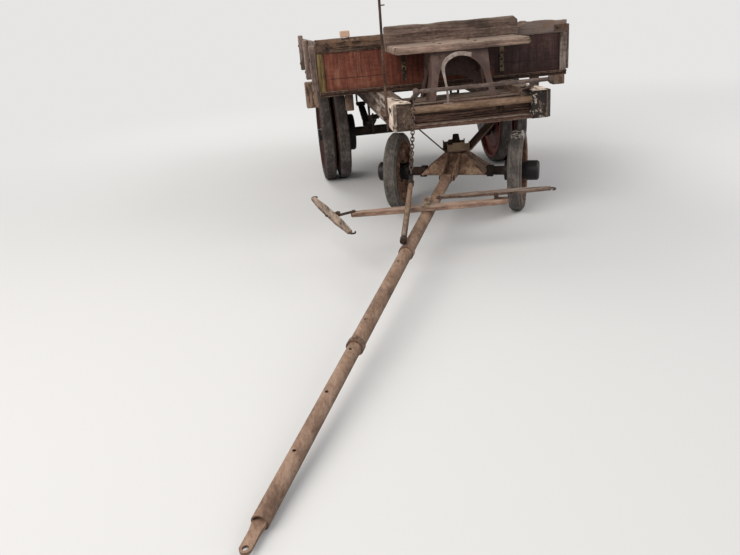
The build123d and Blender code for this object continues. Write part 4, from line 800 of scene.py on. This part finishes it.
def rubber(name, base, dust, pale=0.35, mark=None):
    """Old solid rubber: dull, dusty in patches, crazed, scuffed, and peeling about a mark."""
    finish = Finish(name, 0.92)
    dusty = finish.cloud(0.13, detail=6.0, rough=0.66)
    scuffs = finish.cloud(0.013, finish.moved((1, 0.35, 0.35)), detail=4.0, rough=0.75)
    level = finish.weighed((dusty, 0.55), (scuffs, 0.45))
    shadow = tuple(c * 0.5 for c in base)
    color = finish.tones(level, (shadow, base, dust), (0.38, 0.50, 0.63))
    crazing = finish.cells(0.018, feature="DISTANCE_TO_EDGE")
    lines = finish.band(crazing, 0.045, 0.010)
    lines = finish.times(lines, finish.band(finish.cloud(0.06), 0.48, 0.60))
    color = finish.mixed(finish.times(lines, 0.6), color, tuple(c * 0.25 for c in base))
    worn = finish.times(finish.edges(0.009), pale)
    color = finish.mixed(worn, color, tuple(min(1.0, c * 1.5) for c in dust))
    finish.relief(scuffs, 0.0012)
    finish.relief(finish.minus(1.0, lines), 0.0012)
    if mark:
        ragged = finish.cloud(0.022, detail=5.0, rough=0.7)
        reach = finish.plus(finish.distance(finish.place, mark), finish.times(ragged, 0.10))
        patch = finish.band(reach, 0.140, 0.120)
        lumps = finish.cells(0.024)
        color = finish.mixed(patch, color, finish.tones(lumps, PEELED, (0.15, 0.45, 0.70)))
        finish.relief(finish.times(patch, lumps), 0.008)
    return finish.done(color)


rear_rubber = rubber("rear_rubber", (0.060, 0.049, 0.045), (0.136, 0.116, 0.104))
DISC_RUST = ((0.022, 0.010, 0.008), (0.080, 0.030, 0.020), (0.170, 0.090, 0.060))
DISC_RED = (0.175, 0.047, 0.034)
DISC_RED_SHADED = (0.050, 0.021, 0.017)
OILY_BLACK = (0.011, 0.009, 0.009)
# The right wheel's disc paint is the red, darkened as painted shade.
disc_paint = {
    "left": painted_iron("disc_red", DISC_RED, 0.38, DISC_RUST, spread=0.12),
    "right": painted_iron("disc_red_shaded", DISC_RED_SHADED, 0.40, DISC_RUST, spread=0.12),
}
hub_black = painted_iron("hub_black", OILY_BLACK, 0.36, DARK, gloss=0.45)
REAR_HALF_TRACK = 0.825
REAR_RADIUS = 0.420
HUB_FACE = 0.1005
RIM_FACE = 0.0885
for side, way in (("right", -1), ("left", 1)):
    dress(f"rear_tyres_{side}", rear_rubber)
    dress(f"rear_discs_{side}", disc_paint[side])
    dress(f"rear_hub_{side}", hub_black)
    centre = at(way * REAR_HALF_TRACK, AXLE_BACK, REAR_RADIUS)
    wheel = Matrix.Translation(centre) @ Matrix.Diagonal((way, 1, 1, 1))
    outward = (way, 0, 0)
    body = f"rear_wheel_{side}"
    spots = ring(wheel, 0.080, 8, HUB_FACE)
    bolts(f"rear_hub_nuts_{side}", spots, outward, 0.010, 0.009, body, rust_iron)
    spots = ring(wheel, 0.345, 12, RIM_FACE)
    paint = disc_paint[side]
    bolts(f"rim_rivets_{side}", spots, outward, 0.009, 0.005, body, paint, sides=0)

# Front wheels
# Twelve tapered wooden spokes in a felloe, a flat-treaded rubber tyre with pale bevelled
# shoulders, and a tall black grease cap on each hub. Rubber peels off the left tyre's top.
FRONT_HALF_TRACK = 0.465
FRONT_RADIUS = 0.300
FRONT_HUB_FACE = 0.0245
PEEL_AT = truck @ Vector((FRONT_HALF_TRACK, -0.055, 0.588))
FRONT_DUST = (0.165, 0.143, 0.125)
front_rubber = rubber("front_rubber", (0.086, 0.075, 0.067), FRONT_DUST, 0.75)
peeling_rubber = rubber("peeling_rubber", (0.082, 0.071, 0.065), FRONT_DUST, 0.75, PEEL_AT)
SPOKE_TONES = ((0.040, 0.017, 0.011), (0.140, 0.070, 0.044), (0.320, 0.200, 0.135))
spoke_wood = weathered("spoke_wood", 2, SPOKE_TONES, 9.0)
for side, way in (("right", -1), ("left", 1)):
    dress(f"front_tyre_{side}", peeling_rubber if way > 0 else front_rubber)
    dress(f"front_wheel_{side}", spoke_wood)
    dress(f"front_hub_{side}", hub_black)
    centre = Matrix.Translation((way * FRONT_HALF_TRACK, 0, FRONT_RADIUS))
    wheel = truck @ centre @ Matrix.Diagonal((way, 1, 1, 1))
    outward = truck_x * way
    body = f"front_wheel_{side}"
    spots = [(place, outward) for place in ring(wheel, 0.081, 6, FRONT_HUB_FACE)]
    spots += [(place, -outward) for place in ring(wheel, 0.081, 6, -FRONT_HUB_FACE)]
    bolts(f"front_hub_nuts_{side}", spots, None, 0.009, 0.008, body, dark_iron)

# Draw pole
# Two steel tubes, the larger one behind, in thin tan paint that is scoured and dusty, with small
# rust stains, painted shade under them and a painted highlight along their backs. A flattened
# tongue with an eye ends it.
POLE_TAN = ((0.115, 0.068, 0.046), (0.220, 0.137, 0.094), (0.320, 0.218, 0.158))


def belly_shade_back_highlight(finish, color):
    """Painted shade under the tube's belly and a painted highlight along its back."""
    up = finish.part_of(finish.surface, "Z")
    return finish.shaded(color, finish.band(up, -0.5, 0.9, 0.62, 1.12))


pole_tan = scoured("pole_tan", POLE_TAN, (1, 0.35, 1), 0.35, shade=belly_shade_back_highlight)
dress("pole_pipe", pole_tan)
dress("pole_tip", pole_tan)
SLEEVE_TAN = ((0.100, 0.059, 0.039), (0.198, 0.122, 0.081), (0.295, 0.198, 0.140))
dress("pole_sleeve", scoured("sleeve_tan", SLEEVE_TAN, (1, 0.35, 1), 0.35, shade=belly_shade_back_highlight))
dress("pole_bands", scoured("band_brown", HANGER, rust=0.6))

# Evener and singletrees
# The evener is a tapered bar of pale ash held down by a strap; the two singletrees are thinner
# bars on its end pins, one crosswise at the far right and one laid along the evener.
ASH = ((0.095, 0.053, 0.036), (0.225, 0.138, 0.100), (0.400, 0.275, 0.205))
dress("evener", weathered("evener_ash", 0, ASH, 12.0))
STRAP = ((0.095, 0.062, 0.044), (0.240, 0.170, 0.120), (0.400, 0.310, 0.240))
strap_tan = scoured("strap_tan", STRAP, rust=0.4)
dress("evener_strap", strap_tan)
dress("evener_irons", brown_iron)
block = bmesh.new()
add_slab(block, pole @ Matrix.Translation((0.0, -0.652, 0.088)), (0.046, 0.030, 0.030), 0.004)
add_slab(block, pole @ Matrix.Translation((0.0, -0.598, 0.0485)), (0.056, 0.060, 0.004))
bracket = piece_from("strap_bracket", block, strap_tan)
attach(bracket, "pole")
strap_bolt = [pole @ Vector((0, -0.585, 0.062))]
bolts("strap_bolt", strap_bolt, pole_up, 0.015, 0.009, "pole", dark_iron)
TREE_DARK = ((0.040, 0.023, 0.017), (0.115, 0.072, 0.054), (0.240, 0.170, 0.130))
TREE_PALE = ((0.085, 0.052, 0.037), (0.215, 0.148, 0.108), (0.380, 0.290, 0.225))
dress("singletree_right", weathered("tree_right", 1, TREE_PALE, 14.0))
dress("singletree_left", weathered("tree_left", 0, TREE_DARK, 16.0))
for side in ("right", "left"):
    dress(f"tree_irons_{side}", brown_iron)

# Stay rod
# A round hardwood rod in iron ferrules lies over the evener and ends in an eye for the chain. It is
# lighter and orange-brown towards its top, and greyer towards the pole.
ROD_TONES = ((0.038, 0.020, 0.014), (0.095, 0.055, 0.038), (0.170, 0.105, 0.073))
ROD_UPPER_TONE = (0.215, 0.124, 0.070)
rod_finish = Finish("rod_wood", 0.85)
rod_color = grained(rod_finish, 1, ROD_TONES, 18.0)
rod_low, rod_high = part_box("stay_rod")
rod_up = rod_finish.band(rod_finish.part_of(rod_finish.place, "Z"), rod_low.z, rod_high.z, 0.0, 0.6)
rod_color = rod_finish.mixed(rod_up, rod_color, ROD_UPPER_TONE)
dress("stay_rod", rod_finish.done(rod_color))
dress("stay_rod_irons", dark_iron)

# Box
# A shallow box of boards on cross sills. The front is a red-brown panel in a frame, under a split
# top board with a bleached edge; the sides are plain boards held by stakes with flaking paint.
dress("cross_sills", weathered("cross_sill_oak", 0, BEAM_OAK, 22.0))
SIDE_TONES = ((0.030, 0.016, 0.011), (0.110, 0.066, 0.046), (0.270, 0.190, 0.140))


def planked(name, along, across, tones, seed):
    """Boards with dark joints, each in its own tone. Across is first joint, pitch and axis."""
    finish = Finish(name, 0.9)
    color = grained(finish, along, tones, seed)
    low, pitch, letter = across
    row = finish.minus(finish.part_of(finish.place, letter), low)
    row = finish.maths("DIVIDE", row, pitch)
    number = {"W": finish.maths("FLOOR", row)}
    own = finish.step("ShaderNodeTexWhiteNoise", number, noise_dimensions="1D").outputs["Value"]
    color = finish.shaded(color, finish.band(own, 0.0, 1.0, 0.66, 1.22))
    beside = finish.gap(finish.maths("FRACT", row), 0.5)
    joint = finish.band(beside, 0.5 - 0.0045 / pitch, 0.5 - 0.0020 / pitch)
    color = finish.mixed(finish.times(joint, 0.95), color, CRACK)
    finish.relief(finish.minus(1.0, joint), 0.005)
    return finish.done(color)


FLOOR_COUNT = 8
FLOOR_GAP = 0.003
floor_low, floor_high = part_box("floor_boards")
floor_pitch = (floor_high.x - floor_low.x + FLOOR_GAP) / FLOOR_COUNT
floor_row = (floor_low.x - FLOOR_GAP / 2, floor_pitch, "X")
dress("floor_boards", planked("floor_oak", 1, floor_row, GREY_OAK, 20.0))
side_oak = planked("side_oak", 1, (0.950, 0.130, "Z"), SIDE_TONES, 24.0)
for side in ("right", "left"):
    dress(f"side_board_{side}", side_oak)
dress("tail_board", planked("tail_oak", 0, (0.985, 0.114, "Z"), SIDE_TONES, 26.0))

TOP_TONES = ((0.016, 0.008, 0.005), (0.068, 0.036, 0.023), (0.200, 0.128, 0.092))
TOP_GREY = (0.250, 0.200, 0.185)
TOP_BROWN = (0.160, 0.092, 0.055)
top_board = Finish("top_oak", 0.9)
top_color = grained(top_board, 0, TOP_TONES, 28.0)
leftward = top_board.part_of(top_board.place, "X")
leftward = top_board.band(leftward, origin.x + 0.50, origin.x + 0.62, 0.0, 0.55)
top_color = top_board.mixed(leftward, top_color, TOP_GREY)
upper = top_board.plus(top_board.part_of(top_board.place, "Z"), top_board.cloud(0.06))
upper = top_board.band(upper, 1.80, 1.87, 0.0, 0.55)
top_color = top_board.mixed(upper, top_color, TOP_BROWN)
top_oak = top_board.done(top_color)
top_worn = worn_copy("front_top_board", top_oak, 0, 0.030, wear=0.004, seed=9, ragged=0.045)

PANEL_RED = ((0.070, 0.018, 0.011), (0.150, 0.041, 0.023), (0.230, 0.098, 0.062))
PANEL_DARK = ((0.016, 0.007, 0.006), (0.034, 0.014, 0.012), (0.090, 0.048, 0.042))
PANEL_SCRATCHED = (0.26, 0.17, 0.115)
PANEL_FOOT = (0.070, 0.028, 0.016)
PANEL_SEAM_Z = 1.040
panel = Finish("panel_red", 0.66)
streaks = panel.cloud(0.022, panel.moved((1, 1, 0.10)), detail=5.0, rough=0.68)
stains = panel.cloud(0.26, detail=5.0, rough=0.62)
fine = panel.cloud(0.012, panel.moved((0.25, 1, 1)), detail=4.0, rough=0.75)
level = panel.weighed((streaks, 0.42), (stains, 0.30), (fine, 0.28))
red = panel.tones(level, PANEL_RED, (0.40, 0.50, 0.64))
dark = panel.tones(level, PANEL_DARK, (0.40, 0.50, 0.66))
aside = panel.part_of(panel.place, "X")
up = panel.part_of(panel.place, "Z")
share = panel.band(panel.plus(aside, panel.cloud(0.10)), origin.x + 0.68, origin.x + 0.95)
panel_color = panel.mixed(share, red, dark)
scratches = panel.cloud(0.010, panel.moved((1, 1, 0.06), (2.0, 0, 0)), detail=4.0, rough=0.7)
right_part = panel.band(aside, origin.x - 0.45, origin.x - 0.70)
scratches = panel.times(panel.band(scratches, 0.57, 0.63, 0.0, 0.5), right_part)
panel_color = panel.mixed(scratches, panel_color, PANEL_SCRATCHED)
seam = panel.band(panel.gap(up, PANEL_SEAM_Z), 0.0035, 0.0012)
seam = panel.times(seam, panel.band(stains, 0.40, 0.50))
panel_color = panel.mixed(panel.times(seam, 0.7), panel_color, CRACK)
low_edge = panel.band(up, 0.985, 0.945, 0.0, 0.45)
panel_color = panel.mixed(low_edge, panel_color, PANEL_FOOT)
panel.relief(level, 0.0016)
panel.relief(panel.minus(1.0, seam), 0.002)
dress("front_panel", panel.done(panel_color))

FRAME_TONES = ((0.012, 0.005, 0.003), (0.045, 0.020, 0.013), (0.125, 0.072, 0.050))
OLIVE = ((0.030, 0.016, 0.008), (0.098, 0.062, 0.022), (0.210, 0.155, 0.062))
POST_GREY = ((0.050, 0.034, 0.028), (0.145, 0.108, 0.092), (0.300, 0.250, 0.220))
frame_paint = Finish("frame_paint", 0.85)
wood = grained(frame_paint, 0, FRAME_TONES, 30.0, dust=0.7)
up = frame_paint.part_of(frame_paint.place, "Z")
aside = frame_paint.part_of(frame_paint.place, "X")
posts = frame_paint.band(up, 0.951, 0.953)
streak = frame_paint.cloud(0.018, frame_paint.moved((1, 1, 0.08)), detail=5.0, rough=0.7)
right_post = frame_paint.times(posts, frame_paint.band(aside, origin.x, origin.x - 0.1))
left_post = frame_paint.times(posts, frame_paint.band(aside, origin.x, origin.x + 0.1))
for post, tones in ((right_post, OLIVE), (left_post, POST_GREY)):
    wood = frame_paint.mixed(post, wood, frame_paint.tones(streak, tones, (0.38, 0.50, 0.64)))
dress("front_frame", frame_paint.done(wood))
FORWARD = (0, -1, 0)
STRAP_BRASS = (0.170, 0.125, 0.075)
dress("front_straps", painted_iron("strap_brass_paint", STRAP_BRASS, 0.50, BROWN))
spots = [at(x, -1.054, z) for x in (-0.317, 0.460) for z in (1.021, 1.073, 1.125, 1.177)]
bolts("strap_bolts", spots, FORWARD, 0.0095, 0.004, "chassis", dark_iron, sides=0)

POST_TONES = ((0.060, 0.038, 0.031), (0.170, 0.118, 0.098), (0.330, 0.255, 0.220))
stake_paint = Finish("stake_paint", 0.9)
stake_color = grained(stake_paint, 2, POST_TONES, 32.0)
stake_color = peeled(stake_paint, stake_color, WHITE_PAINT, 0.60, 0.030, (1, 1, 0.14), 0.7)
dress("stakes", stake_paint.done(stake_color))
STAKE_FACE = 1.0275
stake_bolts = []
for way in (-1, 1):
    for y in (-0.960, 0.040, 1.080):
        for z in (1.015, 1.190):
            stake_bolts.append((at(way * STAKE_FACE, y, z), (way, 0, 0)))
bolts("stake_bolts", stake_bolts, None, 0.014, 0.008, "chassis", brown_iron, sides=0)
BLOCK_TAN = (0.235, 0.158, 0.112)
BLOCK_PALE = (0.50, 0.33, 0.24)
block_paint = Finish("block_paint", 0.85)
block_color = grained(block_paint, 2, SIDE_TONES, 34.0)
up = block_paint.part_of(block_paint.place, "Z")
aside = block_paint.part_of(block_paint.place, "X")
outside = block_paint.band(block_paint.gap(aside, origin.x), 0.85, 0.90)
high = block_paint.band(up, 1.30, 1.32)
block_color = peeled(block_paint, block_color, BLOCK_TAN, 0.45, 0.05, (1, 1, 0.2), outside)
block_color = block_paint.mixed(high, block_color, BLOCK_PALE)
dress("painted_blocks", block_paint.done(block_color))

CORNER_Z = 1.270
corners = bmesh.new()
corner_bolts = []
for way in (-1, 1):
    front = Matrix.Translation(at(way * 0.930, -1.0640, CORNER_Z))
    add_slab(corners, front, (0.104, 0.004, 0.048))
    flank = Matrix.Translation(at(way * 0.9820, -1.016, CORNER_Z))
    add_slab(corners, flank, (0.004, 0.100, 0.048))
    corner_bolts.append((at(way * 0.900, -1.066, CORNER_Z), FORWARD))
    corner_bolts.append((at(way * 0.984, -0.990, CORNER_Z), (way, 0, 0)))
box_corners = piece_from("box_corners", corners, brown_iron)
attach(box_corners, "chassis")
bolts("corner_bolts", corner_bolts, None, 0.010, 0.006, "chassis", dark_iron, sides=0)

# Eye on the front beam
# A small forged eye stands on a plate on the beam's front face, left of the middle, with its bolt
# heads showing; a chain or a line was tied there.
EYE_X = 0.212
EYE_Z = 0.812
eye_shape = bmesh.new()
add_slab(eye_shape, Matrix.Translation(at(EYE_X, -1.7925, EYE_Z)), (0.060, 0.006, 0.046))
add_slab(eye_shape, Matrix.Translation(at(EYE_X, -1.808, EYE_Z)), (0.012, 0.028, 0.030), 0.003)
beam_eye = piece_from("beam_eye", eye_shape, brown_iron)
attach(beam_eye, "chassis")
eye_bolts = [at(EYE_X + x, -1.7955, EYE_Z) for x in (-0.020, 0.020)]
bolts("eye_bolts", eye_bolts, FORWARD, 0.007, 0.004, "chassis", rust_iron, sides=0)
